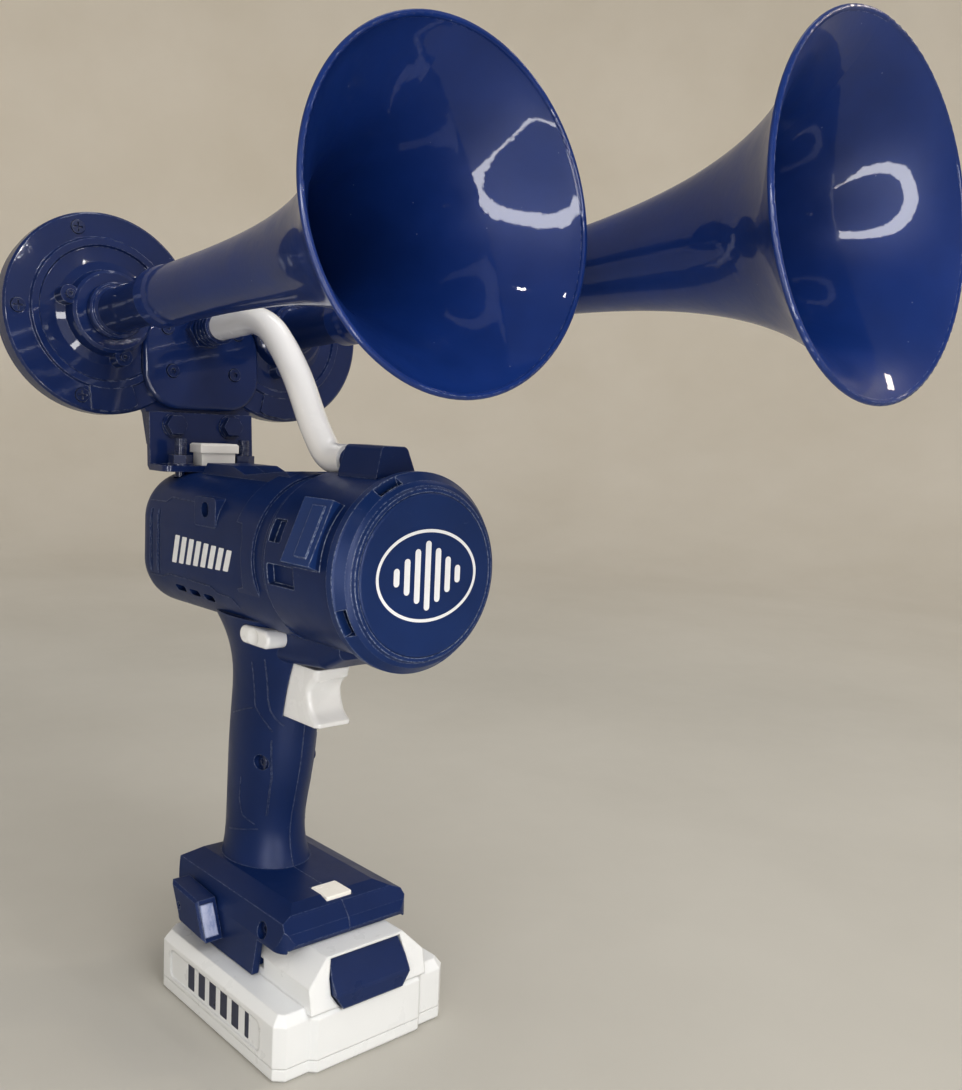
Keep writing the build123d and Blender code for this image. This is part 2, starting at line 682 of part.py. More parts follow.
with BuildPart() as switch_module:
    with BuildSketch(cross_plane(SWITCH_FRONT)):
        with Locations((0, 144.0)):
            RectangleRounded(19.0, 30.0, 1.0)
    extrude(amount=-21.0)
    with BuildSketch(cross_plane(SWITCH_FRONT)):
        with Locations((0, PLUNGER_Z)):
            Circle(2.4 + GAP)
    extrude(amount=-14.0, mode=Mode.SUBTRACT)
    with BuildSketch(Plane.XY.offset(129.0)):
        with Locations((-38.0, -6.0), (-38.0, 6.0), (-30.0, 0.0)):
            Rectangle(4.0, 0.8)
    extrude(amount=-6.0)
switch_module.part.label = "switch_module"
export_step(switch_module.part, "parts/switch_module.step")

SELECTOR_HALF = 24.4
with BuildPart() as selector_button:
    with BuildSketch(Plane.XZ.offset(-SELECTOR_HALF)):
        with Locations((SELECTOR_X, SELECTOR_Z)):
            SlotOverall(SELECTOR_LENGTH, SELECTOR_HEIGHT)
    extrude(amount=2 * SELECTOR_HALF)
    fillet(selector_button.faces().sort_by(Axis.Y)[0].edges(), 1.6)
    fillet(selector_button.faces().sort_by(Axis.Y)[-1].edges(), 1.6)
    # thumb hollows in both ends
    for side in (-1, 1):
        with Locations((SELECTOR_X, side * (SELECTOR_HALF + 7.4), SELECTOR_Z)):
            Sphere(8.6, mode=Mode.SUBTRACT)
selector_button.part.label = "selector_button"
export_step(selector_button.part, "parts/selector_button.step")

# ---------------------------------------------------------------- motor
def ring(x_start, x_end, outer, inner, mode=Mode.ADD):
    """A plain ring about the motor axis, put into the piece being built."""
    with BuildSketch(cross_plane(x_start)) as section:
        with Locations((0, AXIS_Z)):
            Circle(outer)
            Circle(inner, mode=Mode.SUBTRACT)
    extrude(section.sketch, amount=x_end - x_start, mode=mode)


CAN_BACK = -84.0
CAN_FRONT = -20.0
BEARING_R = 9.5
with BuildPart() as motor_can:
    ring(CAN_BACK, CAN_FRONT, CAN_R, CAN_R - 1.8)
    ring(CAN_FRONT - 2.0, CAN_FRONT, CAN_R, BEARING_R)
    ring(CAN_FRONT, CAN_FRONT + 7.5, BEARING_R + 2.5, BEARING_R)
    with BuildSketch(cross_plane(CAN_FRONT - 3)):
        with Locations((0, AXIS_Z)):
            with PolarLocations(17.5, 6):
                Circle(3.4)
    extrude(amount=5.0, mode=Mode.SUBTRACT)
motor_can.part.label = "motor_can"
export_step(motor_can.part, "parts/motor_can.step")

MAGNET_BACK = -74.0
MAGNET_FRONT = -32.0
with BuildPart() as motor_magnets:
    ring(MAGNET_BACK, MAGNET_FRONT, CAN_R - 1.8, 20.4)
    with BuildSketch(cross_plane(MAGNET_BACK - 1)):
        with Locations((0, AXIS_Z)):
            Rectangle(60.0, 15.0)
    extrude(amount=MAGNET_FRONT - MAGNET_BACK + 2, mode=Mode.SUBTRACT)
motor_magnets.part.label = "motor_magnets"
export_step(motor_magnets.part, "parts/motor_magnets.step")

with BuildPart() as motor_end_cap:
    ring(CAN_BACK - 3.0, CAN_BACK, CAN_R, BEARING_R)
    ring(CAN_BACK - 10.0, CAN_BACK - 3.0, BEARING_R + 3.0, BEARING_R)
    # brush holders reach into the can on both sides
    for side in (-1, 1):
        with BuildSketch(cross_plane(CAN_BACK)):
            with Locations((side * 17.5, AXIS_Z)):
                Rectangle(10.0, 8.0)
                Rectangle(10.2, 5.2, mode=Mode.SUBTRACT)
        extrude(amount=7.0)
motor_end_cap.part.label = "motor_end_cap"
export_step(motor_end_cap.part, "parts/motor_end_cap.step")

COMMUTATOR_R = 10.0
with BuildPart() as motor_brushes:
    for side in (-1, 1):
        with BuildSketch(cross_plane(CAN_BACK + 0.3)):
            with Locations((side * (COMMUTATOR_R + 6.2), AXIS_Z)):
                Rectangle(12.0, 5.0)
        extrude(amount=6.0)
motor_brushes.part.label = "motor_brushes"
export_step(motor_brushes.part, "parts/motor_brushes.step")

with BuildPart() as armature:
    # laminated core with open winding slots
    ring(-72.0, -34.0, 19.6, SHAFT_R)
    with BuildSketch(cross_plane(-73.0)):
        with Locations((0, AXIS_Z)):
            with PolarLocations(16.5, 10):
                Rectangle(7.4, 2.6)
    extrude(amount=40.0, mode=Mode.SUBTRACT)
    # end turns of the windings
    ring(-76.0, -72.0, 17.4, SHAFT_R)
    ring(-34.0, -30.0, 17.4, SHAFT_R)
armature.part.label = "armature"
export_step(armature.part, "parts/armature.step")

with BuildPart() as commutator:
    ring(-83.6, -76.0, COMMUTATOR_R, SHAFT_R)
    with BuildSketch(cross_plane(-84.0)):
        with Locations((0, AXIS_Z)):
            with PolarLocations(COMMUTATOR_R, 20):
                Rectangle(1.4, 0.5)
    extrude(amount=6.5, mode=Mode.SUBTRACT)
commutator.part.label = "commutator"
export_step(commutator.part, "parts/commutator.step")

with BuildPart() as cooling_fan:
    ring(-29.5, -23.0, 7.0, SHAFT_R)
    ring(-24.2, -23.0, 21.5, 6.0)
    with BuildSketch(cross_plane(-29.5)):
        with Locations((0, AXIS_Z)):
            with PolarLocations(13.5, 9):
                Rectangle(14.0, 1.2, rotation=24)
    extrude(amount=6.0)
cooling_fan.part.label = "cooling_fan"
export_step(cooling_fan.part, "parts/cooling_fan.step")

SHAFT_BACK = -95.0
SHAFT_FRONT = 65.0
with BuildPart() as motor_shaft:
    with BuildSketch(cross_plane(SHAFT_BACK)):
        with Locations((0, AXIS_Z)):
            Circle(SHAFT_R)
    extrude(amount=SHAFT_FRONT - SHAFT_BACK)
    chamfer(motor_shaft.edges().filter_by(GeomType.CIRCLE), 0.5)
motor_shaft.part.label = "motor_shaft"
export_step(motor_shaft.part, "parts/motor_shaft.step")

with BuildPart() as motor_bearings:
    ring(CAN_BACK - 9.5, CAN_BACK - 2.5, BEARING_R, SHAFT_R + FIT)
    ring(CAN_BACK - 2.9, CAN_BACK - 2.5, 7.8, 5.6, mode=Mode.SUBTRACT)
    ring(CAN_FRONT, CAN_FRONT + 7.0, BEARING_R, SHAFT_R + FIT)
    ring(CAN_FRONT + 6.6, CAN_FRONT + 7.0, 7.8, 5.6, mode=Mode.SUBTRACT)
motor_bearings.part.label = "motor_bearings"
export_step(motor_bearings.part, "parts/motor_bearings.step")

# ================================================================ drum, pump and front cap
DRUM_BACK = BARREL_FRONT
DRUM_BORE_R = 31.9
REAR_PLATE_X = 26.0
RING_X = 32.0
RING_FRONT_X = 58.0
PUMP_FRONT_X = 63.0


OUTLET_BACK = 32.0
OUTLET_FRONT = 58.0
OUTLET_TOP = 254.4


def drum_tangent(x, angle, radius):
    """A plane that touches the drum's side at x: the angle runs from +Y towards +Z."""
    c = cos(radians(angle))
    s = sin(radians(angle))
    return Plane(origin=(x, radius * c, AXIS_Z + radius * s), x_dir=(1, 0, 0), z_dir=(0, c, s))


with BuildPart() as pump_drum:
    ring(DRUM_BACK, DRUM_FRONT, DRUM_R, DRUM_BORE_R)
    ring(DRUM_BACK, REAR_PLATE_X, DRUM_BORE_R + 1, 12.5)
    # louvered blocks on both sides, each with a raised inner panel
    for angle in (23.0, 157.0):
        with BuildSketch(drum_tangent(51.0, angle, DRUM_R - 3.4)):
            Rectangle(19.5, 27.0)
        extrude(amount=6.4)
        with BuildSketch(drum_tangent(53.6, angle, DRUM_R + 2.8)):
            Rectangle(8.0, 21.0)
        extrude(amount=0.9)
    ring(DRUM_BACK, DRUM_FRONT, DRUM_BORE_R, 5.0, mode=Mode.SUBTRACT)
    ring(DRUM_BACK, REAR_PLATE_X, DRUM_BORE_R + 1, 12.5)
    # recesses behind the blocks
    for angle, x, length, width in ((158.8, 26.6, 8.6, 9.5), (186.5, 33.0, 19.0, 8.5)):
        for mirrored in (angle, 180.0 - angle):
            with BuildSketch(drum_tangent(x, mirrored, DRUM_R - 3.2)):
                RectangleRounded(length, width, 0.8)
            extrude(amount=6.0, mode=Mode.SUBTRACT)
    # way out for the air
    with BuildSketch(Plane.XY.offset(AXIS_Z + 28.0)):
        with Locations((45.0, 0)):
            Circle(4.2)
    extrude(amount=12.0, mode=Mode.SUBTRACT)
    # hollow under the end of the hose
    with BuildSketch(cross_plane(DRUM_BACK - 1)):
        with Locations((0, HOSE_END_Z)):
            Circle(HOSE_R + 0.5)
    extrude(amount=OUTLET_BACK - DRUM_BACK, mode=Mode.SUBTRACT)
pump_drum.part.label = "pump_drum"
export_step(pump_drum.part, "parts/pump_drum.step")

with BuildPart() as pump_rear_plate:
    ring(REAR_PLATE_X, RING_X, DRUM_BORE_R, SHAFT_R + FIT)
pump_rear_plate.part.label = "pump_rear_plate"
export_step(pump_rear_plate.part, "parts/pump_rear_plate.step")

with BuildPart() as pump_ring:
    with BuildSketch(cross_plane(RING_X)):
        with Locations((0, AXIS_Z)):
            Circle(DRUM_BORE_R)
        with Locations((0, AXIS_Z - PUMP_OFFSET)):
            Circle(PUMP_BORE_R, mode=Mode.SUBTRACT)
    extrude(amount=RING_FRONT_X - RING_X)
    with BuildSketch(Plane.XY.offset(AXIS_Z + 20.0)):
        with Locations((45.0, 0)):
            Circle(4.2)
    extrude(amount=20.0, mode=Mode.SUBTRACT)
pump_ring.part.label = "pump_ring"
export_step(pump_ring.part, "parts/pump_ring.step")

with BuildPart() as pump_front_plate:
    ring(RING_FRONT_X, PUMP_FRONT_X, DRUM_BORE_R, SHAFT_R + FIT)
    # inlet ports and screw seats
    with BuildSketch(cross_plane(RING_FRONT_X)):
        with Locations((0, AXIS_Z)):
            with Locations((-14.0, -14.0), (0, -20.0), (14.0, -14.0)):
                Circle(3.0)
            with PolarLocations(28.6, 6, start_angle=30):
                Circle(1.7)
    extrude(amount=6.0, mode=Mode.SUBTRACT)
pump_front_plate.part.label = "pump_front_plate"
export_step(pump_front_plate.part, "parts/pump_front_plate.step")

with BuildPart() as pump_screws:
    with BuildSketch(cross_plane(RING_FRONT_X)):
        with Locations((0, AXIS_Z)):
            with PolarLocations(28.6, 6, start_angle=30):
                Circle(1.65)
    extrude(amount=PUMP_FRONT_X - RING_FRONT_X)
    with BuildSketch(cross_plane(PUMP_FRONT_X)):
        with Locations((0, AXIS_Z)):
            with PolarLocations(28.6, 6, start_angle=30):
                Circle(2.9)
    extrude(amount=2.2)
pump_screws.part.label = "pump_screws"
export_step(pump_screws.part, "parts/pump_screws.step")

VANE_COUNT = 4
VANE_INNER_R = 12.8
with BuildPart() as pump_rotor:
    ring(RING_X + FIT, RING_FRONT_X - FIT, ROTOR_R, SHAFT_R)
    with BuildSketch(cross_plane(RING_X)):
        with Locations((0, AXIS_Z)):
            with PolarLocations((VANE_INNER_R + ROTOR_R) / 2 + 0.5, VANE_COUNT):
                Rectangle(ROTOR_R - VANE_INNER_R + 1.4, 1.8)
    extrude(amount=RING_FRONT_X - RING_X, mode=Mode.SUBTRACT)
pump_rotor.part.label = "pump_rotor"
export_step(pump_rotor.part, "parts/pump_rotor.step")

with BuildPart() as pump_vanes:
    with BuildSketch(cross_plane(RING_X + 0.2)):
        with Locations((0, AXIS_Z)):
            with PolarLocations((VANE_INNER_R + ROTOR_R) / 2, VANE_COUNT):
                Rectangle(ROTOR_R - VANE_INNER_R - 0.2, 1.7)
    extrude(amount=RING_FRONT_X - RING_X - 0.4)
pump_vanes.part.label = "pump_vanes"
export_step(pump_vanes.part, "parts/pump_vanes.step")

with BuildPart() as intake_filter:
    ring(66.0, 70.4, DRUM_BORE_R - 0.4, 10.0)
intake_filter.part.label = "intake_filter"
export_step(intake_filter.part, "parts/intake_filter.step")

CAP_BACK = 68.0
FACE_BACK = 77.4
with BuildPart() as front_cap:
    with BuildSketch(AXIAL_PLANE):
        Polygon(
            (CAP_BACK, DRUM_R + 0.05),
            (CAP_BACK, CAP_R - 0.8),
            (69.0, CAP_R),
            (72.4, CAP_R),
            (73.0, CAP_R - 0.6),
            (76.6, 36.4),
            (77.2, 35.4),
            (77.6, 34.4),
            (CAP_FACE, 33.6),
            (CAP_FACE, FACE_R + 0.05),
            (FACE_BACK, FACE_R + 0.05),
            (FACE_BACK, 27.0),
            (75.4, 27.0),
            (75.4, 34.0),
            (73.2, 35.4),
            (71.2, 36.2),
            (71.2, DRUM_R + 0.05),
            align=None,
        )
    revolve(axis=PUMP_AXIS)
    # four intake slots round the shoulder
    for turn in range(4):
        with BuildSketch(drum_tangent(74.3, 26.0 + 90.0 * turn, 33.0)):
            Rectangle(3.4, 11.0)
        extrude(amount=8.0, mode=Mode.SUBTRACT)
front_cap.part.label = "front_cap"
export_step(front_cap.part, "parts/front_cap.step")

with BuildPart() as front_plate:
    with BuildSketch(cross_plane(FACE_BACK)):
        with Locations((0, AXIS_Z)):
            Circle(FACE_R)
    extrude(amount=CAP_FACE + 0.5 - FACE_BACK)
    fillet(front_plate.faces().sort_by(Axis.X)[-1].edges(), 1.0)
front_plate.part.label = "front_plate"
export_step(front_plate.part, "parts/front_plate.step")

with BuildPart() as outlet_block:
    with BuildSketch(cross_plane(OUTLET_BACK)):
        Polygon(
            (-10.6, 236.0),
            (-9.8, 243.0),
            (-6.2, OUTLET_TOP),
            (6.2, OUTLET_TOP),
            (9.8, 243.0),
            (10.6, 236.0),
            align=None,
        )
    extrude(amount=OUTLET_FRONT - OUTLET_BACK)
    with BuildSketch(Plane.XZ):
        Polygon((OUTLET_FRONT, 243.5), (56.0, 256.0), (80.0, 256.0), (80.0, 243.5), align=None)
    extrude(amount=30.0, both=True, mode=Mode.SUBTRACT)
    top_edges = outlet_block.edges().filter_by(Axis.X).sort_by(Axis.Z)[-2:]
    fillet(top_edges, 2.6)
    ring(OUTLET_BACK - 1, 80.0, DRUM_R, 10.0, mode=Mode.SUBTRACT)
    # elbow bore from the drum to the hose
    with BuildSketch(cross_plane(OUTLET_BACK - 1)):
        with Locations((0, HOSE_END_Z)):
            Circle(HOSE_BORE_R)
    extrude(amount=20.0, mode=Mode.SUBTRACT)
    with BuildSketch(Plane.XY.offset(AXIS_Z + 30.0)):
        with Locations((45.0, 0)):
            Circle(4.2)
    extrude(amount=12.0, mode=Mode.SUBTRACT)
outlet_block.part.label = "outlet_block"
export_step(outlet_block.part, "parts/outlet_block.step")

with BuildPart() as outlet_barb:
    with BuildSketch(cross_plane(HOSE_END_X)):
        with Locations((0, HOSE_END_Z)):
            Circle(5.4)
    extrude(amount=OUTLET_BACK - HOSE_END_X)
    chamfer(outlet_barb.edges().filter_by(GeomType.CIRCLE), 0.8)
    with BuildSketch(cross_plane(HOSE_END_X)):
        with Locations((0, HOSE_END_Z)):
            Circle(HOSE_BORE_R - 0.05)
    extrude(amount=-7.0)
    with BuildSketch(cross_plane(HOSE_END_X - 8.0)):
        with Locations((0, HOSE_END_Z)):
            Circle(2.6)
    extrude(amount=20.0, mode=Mode.SUBTRACT)
    ring(DRUM_BACK - 1, OUTLET_BACK + 1, DRUM_R, 10.0, mode=Mode.SUBTRACT)
outlet_barb.part.label = "outlet_barb"
export_step(outlet_barb.part, "parts/outlet_barb.step")

# ================================================================ air hose
TILT = radians(HORN_TILT)
NIPPLE_UP = -3.9
NIPPLE_LENGTH = 22.0


def tilted(s, up):
    """The x and z of a point s along the trumpet axis and up across it."""
    return HORN_X + s * cos(TILT) - up * sin(TILT), HORN_Z + s * sin(TILT) + up * cos(TILT)


NIPPLE_X, NIPPLE_Z = tilted(NIPPLE_LENGTH, NIPPLE_UP)
HOSE_ROUTE = [
    (NIPPLE_X, 0, NIPPLE_Z),
    (-44.0, 0, NIPPLE_Z + (-44.0 - NIPPLE_X) * tan(TILT)),
    (-18.4, 0, 287.0),
    (-0.5, 0, 260.0),
    (11.0, 0, HOSE_END_Z),
    (HOSE_END_X, 0, HOSE_END_Z),
]


def bend_radii(route):
    """The largest arc that each corner of a route has room for."""
    points = [Vector(*p) for p in route]
    radii = []
    for before, corner, after in zip(points, points[1:], points[2:]):
        run_in = corner - before
        run_out = after - corner
        turn = radians(run_in.get_angle(run_out))
        radii.append(0.45 * min(run_in.length, run_out.length) * cos(turn / 2) / sin(turn / 2))
    return radii


HOSE_RADII = bend_radii(HOSE_ROUTE)
print("hose bend radii", [round(r, 1) for r in HOSE_RADII])

with BuildLine() as hose_path:
    FilletPolyline(*HOSE_ROUTE, radius=HOSE_RADII)
hose_wire = hose_path.wires()[0]
hose_start = Plane(origin=hose_wire @ 0, z_dir=hose_wire % 0)
with BuildPart() as hose_bore:
    with BuildSketch(hose_start):
        Circle(HOSE_BORE_R)
    sweep(path=hose_wire)
with BuildPart() as air_hose:
    with BuildSketch(hose_start):
        Circle(HOSE_R)
    sweep(path=hose_wire)
    add(hose_bore.part, mode=Mode.SUBTRACT)
air_hose.part.label = "air_hose"
export_step(air_hose.part, "parts/air_hose.step")
print("hose length", round(hose_wire.length, 1))
print("hose volume", round(air_hose.part.volume))
print("section times length", round(pi * (HOSE_R**2 - HOSE_BORE_R**2) * hose_wire.length))

# ================================================================ horns
BACK_S = -7.0
SEAT_R = 36.4
HUB_R = 19.0
HUB_S = 9.0
RIM_SCREW_R = 40.4
RIM_ANGLES = (36, 108, 180, 252)
HUB_SCREW_R = HUB_R + 2.0
HUB_ANGLES = (43, 163, 283)
COVER_CENTRE = (0, -19.0)
COVER_WIDTH = 62.0
COVER_HEIGHT = 48.0
COVER_CORNER = 18.0
COVER_SCREWS = [(-16.8, -24.7), (16.8, -24.7), (-19.0, -4.0), (19.0, -4.0)]
HORN_SIDES = (-HORN_Y, HORN_Y)


def on_disc(y, radius, angles):
    """Points on a circle of a horn's face, with 180 degrees pointing away from the other horn."""
    side = -1 if y < 0 else 1
    return [(-side * radius * cos(radians(a)), radius * sin(radians(a))) for a in angles]


PAD_OUTLINE = [(57, -32.5), (37, -29.5), (33.6, -42.0), (37, -44.0), (47.8, -45.6), (56, -44.6)]
WEB_OUTLINE = [(-34, 20), (34, 20), (34, -30), (28, -45), (26, -60), (-26, -60), (-28, -45), (-34, -30)]

with BuildPart() as horn_base:
    # web between the two housings
    with BuildSketch(disc_plane(BACK_S)):
        Polygon(*WEB_OUTLINE, align=None)
    extrude(amount=-BACK_S - 2.0)
    for y in HORN_SIDES:
        with BuildSketch(horn_plane(y)):
            Polygon(
                (BACK_S, 0),
                (BACK_S, DISC_R),
                (-1.0, DISC_R),
                (0, DISC_R - 1.0),
                (0, 35.4),
                (1.3, 34.7),
                (1.3, 31.6),
                (0.2, 30.9),
                (0.6, 24.0),
                (2.0, HUB_R + 1.0),
                (HUB_S - 1.2, HUB_R),
                (HUB_S, HUB_R - 1.4),
                (HUB_S, 0),
                align=None,
            )
        revolve(axis=horn_axis(y))
        # three screw bosses on the hub, and a raised pad beside the manifold
        with BuildSketch(disc_plane(0, y)):
            with Locations(*on_disc(y, HUB_SCREW_R, HUB_ANGLES)):
                Circle(4.2)
        extrude(amount=HUB_S - 1.0)
        side = -1 if y < 0 else 1
        with BuildSketch(disc_plane(-1.0)):
            Polygon(*[(side * across, up) for across, up in PAD_OUTLINE], align=None)
        extrude(amount=2.0)
    # diaphragm chambers, air seats and throats
    for y in HORN_SIDES:
        with BuildSketch(horn_plane(y)):
            chamber_end = BACK_S + 4.0
            Polygon(
                (BACK_S, 12.0),
                (BACK_S, SEAT_R),
                (chamber_end, SEAT_R - 2.0),
                (chamber_end, 12.0),
                align=None,
            )
        revolve(axis=horn_axis(y), mode=Mode.SUBTRACT)
        with BuildSketch(disc_plane(BACK_S, y)):
            Circle(7.2)
        extrude(amount=HUB_S - BACK_S, mode=Mode.SUBTRACT)
        # neck seat
        with BuildSketch(disc_plane(HUB_S - 5.0, y)):
            Circle(NECK_R)
        extrude(amount=10.0, mode=Mode.SUBTRACT)
        with BuildSketch(disc_plane(BACK_S, y)):
            with Locations(*on_disc(y, RIM_SCREW_R, RIM_ANGLES)):
                Circle(2.05)
        extrude(amount=12.0, mode=Mode.SUBTRACT)
        # sunk seats of the screw ends on the front
        with BuildSketch(disc_plane(-1.2, y)):
            with Locations(*on_disc(y, RIM_SCREW_R, RIM_ANGLES)):
                Circle(3.3)
        extrude(amount=4.0, mode=Mode.SUBTRACT)
    # recess of the manifold, its cover's seat, and the bolt holes of the bracket
    with BuildSketch(disc_plane(0)):
        with Locations(COVER_CENTRE):
            RectangleRounded(COVER_WIDTH + 0.4, COVER_HEIGHT + 0.4, COVER_CORNER + 0.2)
    extrude(amount=4.0, mode=Mode.SUBTRACT)
    with BuildSketch(disc_plane(-4.6)):
        with Locations((0, -16.0)):
            RectangleRounded(34.0, 12.0, 5.0)
    extrude(amount=6.0, mode=Mode.SUBTRACT)
    with BuildSketch(disc_plane(BACK_S)):
        with Locations((-15.3, -51.0), (15.3, -51.0)):
            Circle(2.6)
    extrude(amount=10.0, mode=Mode.SUBTRACT)
horn_base.part.label = "horn_base"
export_step(horn_base.part, "parts/horn_base.step")

with BuildPart() as back_covers:
    for y in HORN_SIDES:
        with BuildSketch(horn_plane(y)):
            Polygon(
                (BACK_S - 0.6, SEAT_R - 2.0),
                (BACK_S - 0.6, DISC_R - 0.6),
                (BACK_S - 4.4, DISC_R - 0.6),
                (BACK_S - 5.0, DISC_R - 1.2),
                (BACK_S - 5.0, SEAT_R),
                (BACK_S - 9.0, SEAT_R - 6.0),
                (BACK_S - 10.0, 12.0),
                (BACK_S - 12.0, 10.0),
                (BACK_S - 12.0, 0),
                (BACK_S - 9.6, 0),
                (BACK_S - 8.0, 10.0),
                (BACK_S - 6.6, SEAT_R - 7.0),
                align=None,
            )
        revolve(axis=horn_axis(y))
        with BuildSketch(disc_plane(BACK_S - 6.0, y)):
            with Locations(*on_disc(y, RIM_SCREW_R, RIM_ANGLES)):
                Circle(2.05)
        extrude(amount=6.0, mode=Mode.SUBTRACT)
back_covers.part.label = "back_covers"
export_step(back_covers.part, "parts/back_covers.step")

with BuildPart() as diaphragms:
    for y in HORN_SIDES:
        with BuildSketch(disc_plane(BACK_S - 0.6, y)):
            Circle(SEAT_R + 1.8)
        extrude(amount=0.6)
diaphragms.part.label = "diaphragms"
export_step(diaphragms.part, "parts/diaphragms.step")

with BuildPart() as rim_screws:
    for y in HORN_SIDES:
        spots = on_disc(y, RIM_SCREW_R, RIM_ANGLES)
        with BuildSketch(disc_plane(BACK_S - 5.0, y)):
            with Locations(*spots):
                Circle(2.0)
        extrude(amount=5.0 - BACK_S - 1.2)
        with BuildSketch(disc_plane(BACK_S - 7.2, y)):
            with Locations(*spots):
                Circle(2.9)
        extrude(amount=2.2)
        with BuildSketch(disc_plane(-1.2, y)):
            with Locations(*spots):
                Circle(3.1)
        extrude(amount=1.8)
        # cross slots at both ends
        for start in (BACK_S - 7.2, -0.3):
            with BuildSketch(disc_plane(start, y)):
                with Locations(*spots):
                    Rectangle(4.2, 0.8)
                    Rectangle(0.8, 4.2)
            extrude(amount=1.0, mode=Mode.SUBTRACT)
rim_screws.part.label = "rim_screws"
export_step(rim_screws.part, "parts/rim_screws.step")

COLLAR_S = 13.5
NECK_COLLAR_R = 13.0
NECK_END = 64.0
with BuildPart() as short_neck:
    with BuildSketch(horn_plane(-HORN_Y)):
        Polygon(
            (HUB_S - 5.0, 7.2),
            (HUB_S - 5.0, NECK_R),
            (HUB_S, NECK_R),
            (HUB_S, NECK_COLLAR_R - 0.8),
            (HUB_S + 0.8, NECK_COLLAR_R),
            (COLLAR_S - 0.8, NECK_COLLAR_R),
            (COLLAR_S, NECK_COLLAR_R - 0.8),
            (COLLAR_S, NECK_R + 1.0),
            (COLLAR_S + 1.4, NECK_R),
            (NECK_END, NECK_R),
            (NECK_END, 7.2),
            align=None,
        )
    revolve(axis=horn_axis(-HORN_Y))
short_neck.part.label = "short_neck"
export_step(short_neck.part, "parts/short_neck.step")

with BuildPart() as long_neck:
    add(short_neck.part)
    mirror(about=Plane.XZ, mode=Mode.REPLACE)
long_neck.part.label = "long_neck"
export_step(long_neck.part, "parts/long_neck.step")


def flare(s, throat_r, mouth_r, mouth_s, curl, power):
    """Outer radius of a trumpet at s: the bell has opened to 1/e of its flare at curl from the mouth."""
    return throat_r + (mouth_r - throat_r) * exp(-(((mouth_s - s) / curl) ** power))


RIM_ROLL_R = 1.05


def trumpet(y, throat_r, mouth_r, mouth_s, curl, power):
    """A flared trumpet with a sleeve at the throat and a rolled rim."""
    steps = 14
    grown = mouth_s - TRUMPET_START - 12.0
    outer = []
    inner = []
    for i in range(steps + 1):
        # stations crowd towards the mouth, where the bell curls
        s = mouth_s - grown * (1 - i / steps) ** 1.6
        r = flare(s, throat_r, mouth_r, mouth_s, curl, power)
        slope = r - flare(s - 1.0, throat_r, mouth_r, mouth_s, curl, power)
        lean = sqrt(1 + slope**2)
        outer.append((s, r))
        inner.append((s + TRUMPET_WALL * slope / lean, r - TRUMPET_WALL / lean))
    start_r = outer[0][1]
    with BuildPart() as piece:
        with BuildSketch(horn_plane(y)):
            with BuildLine():
                Polyline(
                    inner[0],
                    (NECK_END + 0.4, NECK_R + 0.05),
                    (TRUMPET_START, NECK_R + 0.05),
                    (TRUMPET_START, start_r - 0.6),
                    (TRUMPET_START + 1.4, start_r + 0.5),
                    (TRUMPET_START + 9.0, start_r + 0.5),
                    outer[0],
                )
                Spline(*outer)
                Line(outer[-1], inner[-1])
                Spline(*inner)
            make_face()
        revolve(axis=horn_axis(y))
        # rolled rim
        with BuildSketch(horn_plane(y)):
            with Locations(((outer[-1][0] + inner[-1][0]) / 2, (outer[-1][1] + inner[-1][1]) / 2)):
                Circle(RIM_ROLL_R)
        revolve(axis=horn_axis(y))
    return piece


short_trumpet = trumpet(-HORN_Y, 12.3, SHORT_MOUTH_R, SHORT_MOUTH, curl=43.5, power=1.17)
short_trumpet.part.label = "short_trumpet"
export_step(short_trumpet.part, "parts/short_trumpet.step")

long_trumpet = trumpet(HORN_Y, 11.7, LONG_MOUTH_R, LONG_MOUTH, curl=42.5, power=0.86)
long_trumpet.part.label = "long_trumpet"
export_step(long_trumpet.part, "parts/long_trumpet.step")

with BuildPart() as manifold_cover:
    with BuildSketch(disc_plane(0)):
        with Locations(COVER_CENTRE):
            RectangleRounded(COVER_WIDTH, COVER_HEIGHT, COVER_CORNER)
    extrude(amount=4.0)
    fillet(manifold_cover.faces().sort_by(Axis.X)[-1].edges(), 2.0)
    with BuildSketch(disc_plane(0)):
        with Locations((0, NIPPLE_UP)):
            Circle(6.0)
        with Locations(*COVER_SCREWS):
            Circle(1.9)
    extrude(amount=5.0, mode=Mode.SUBTRACT)
    with BuildSketch(disc_plane(3.0)):
        with Locations(*COVER_SCREWS):
            Circle(3.4)
    extrude(amount=2.0, mode=Mode.SUBTRACT)
manifold_cover.part.label = "manifold_cover"
export_step(manifold_cover.part, "parts/manifold_cover.step")

with BuildPart() as horn_screws:
    # screws of the manifold's cover
    with BuildSketch(disc_plane(0)):
        with Locations(*COVER_SCREWS):
            Circle(1.85)
    extrude(amount=3.0)
    with BuildSketch(disc_plane(3.0)):
        with Locations(*COVER_SCREWS):
            Circle(3.1)
    extrude(amount=1.8)
    with BuildSketch(disc_plane(4.8)):
        with Locations(*COVER_SCREWS):
            RegularPolygon(1.4, 6)
    extrude(amount=-1.2, mode=Mode.SUBTRACT)
    # screws of the hubs
    for y in HORN_SIDES:
        spots = on_disc(y, HUB_SCREW_R, HUB_ANGLES)
        with BuildSketch(disc_plane(HUB_S - 1.0, y)):
            with Locations(*spots):
                Circle(2.0)
        extrude(amount=1.4)
        with BuildSketch(disc_plane(HUB_S + 0.4, y)):
            with Locations(*spots):
                RegularPolygon(1.0, 6)
        extrude(amount=-1.0, mode=Mode.SUBTRACT)
horn_screws.part.label = "horn_screws"
export_step(horn_screws.part, "parts/horn_screws.step")

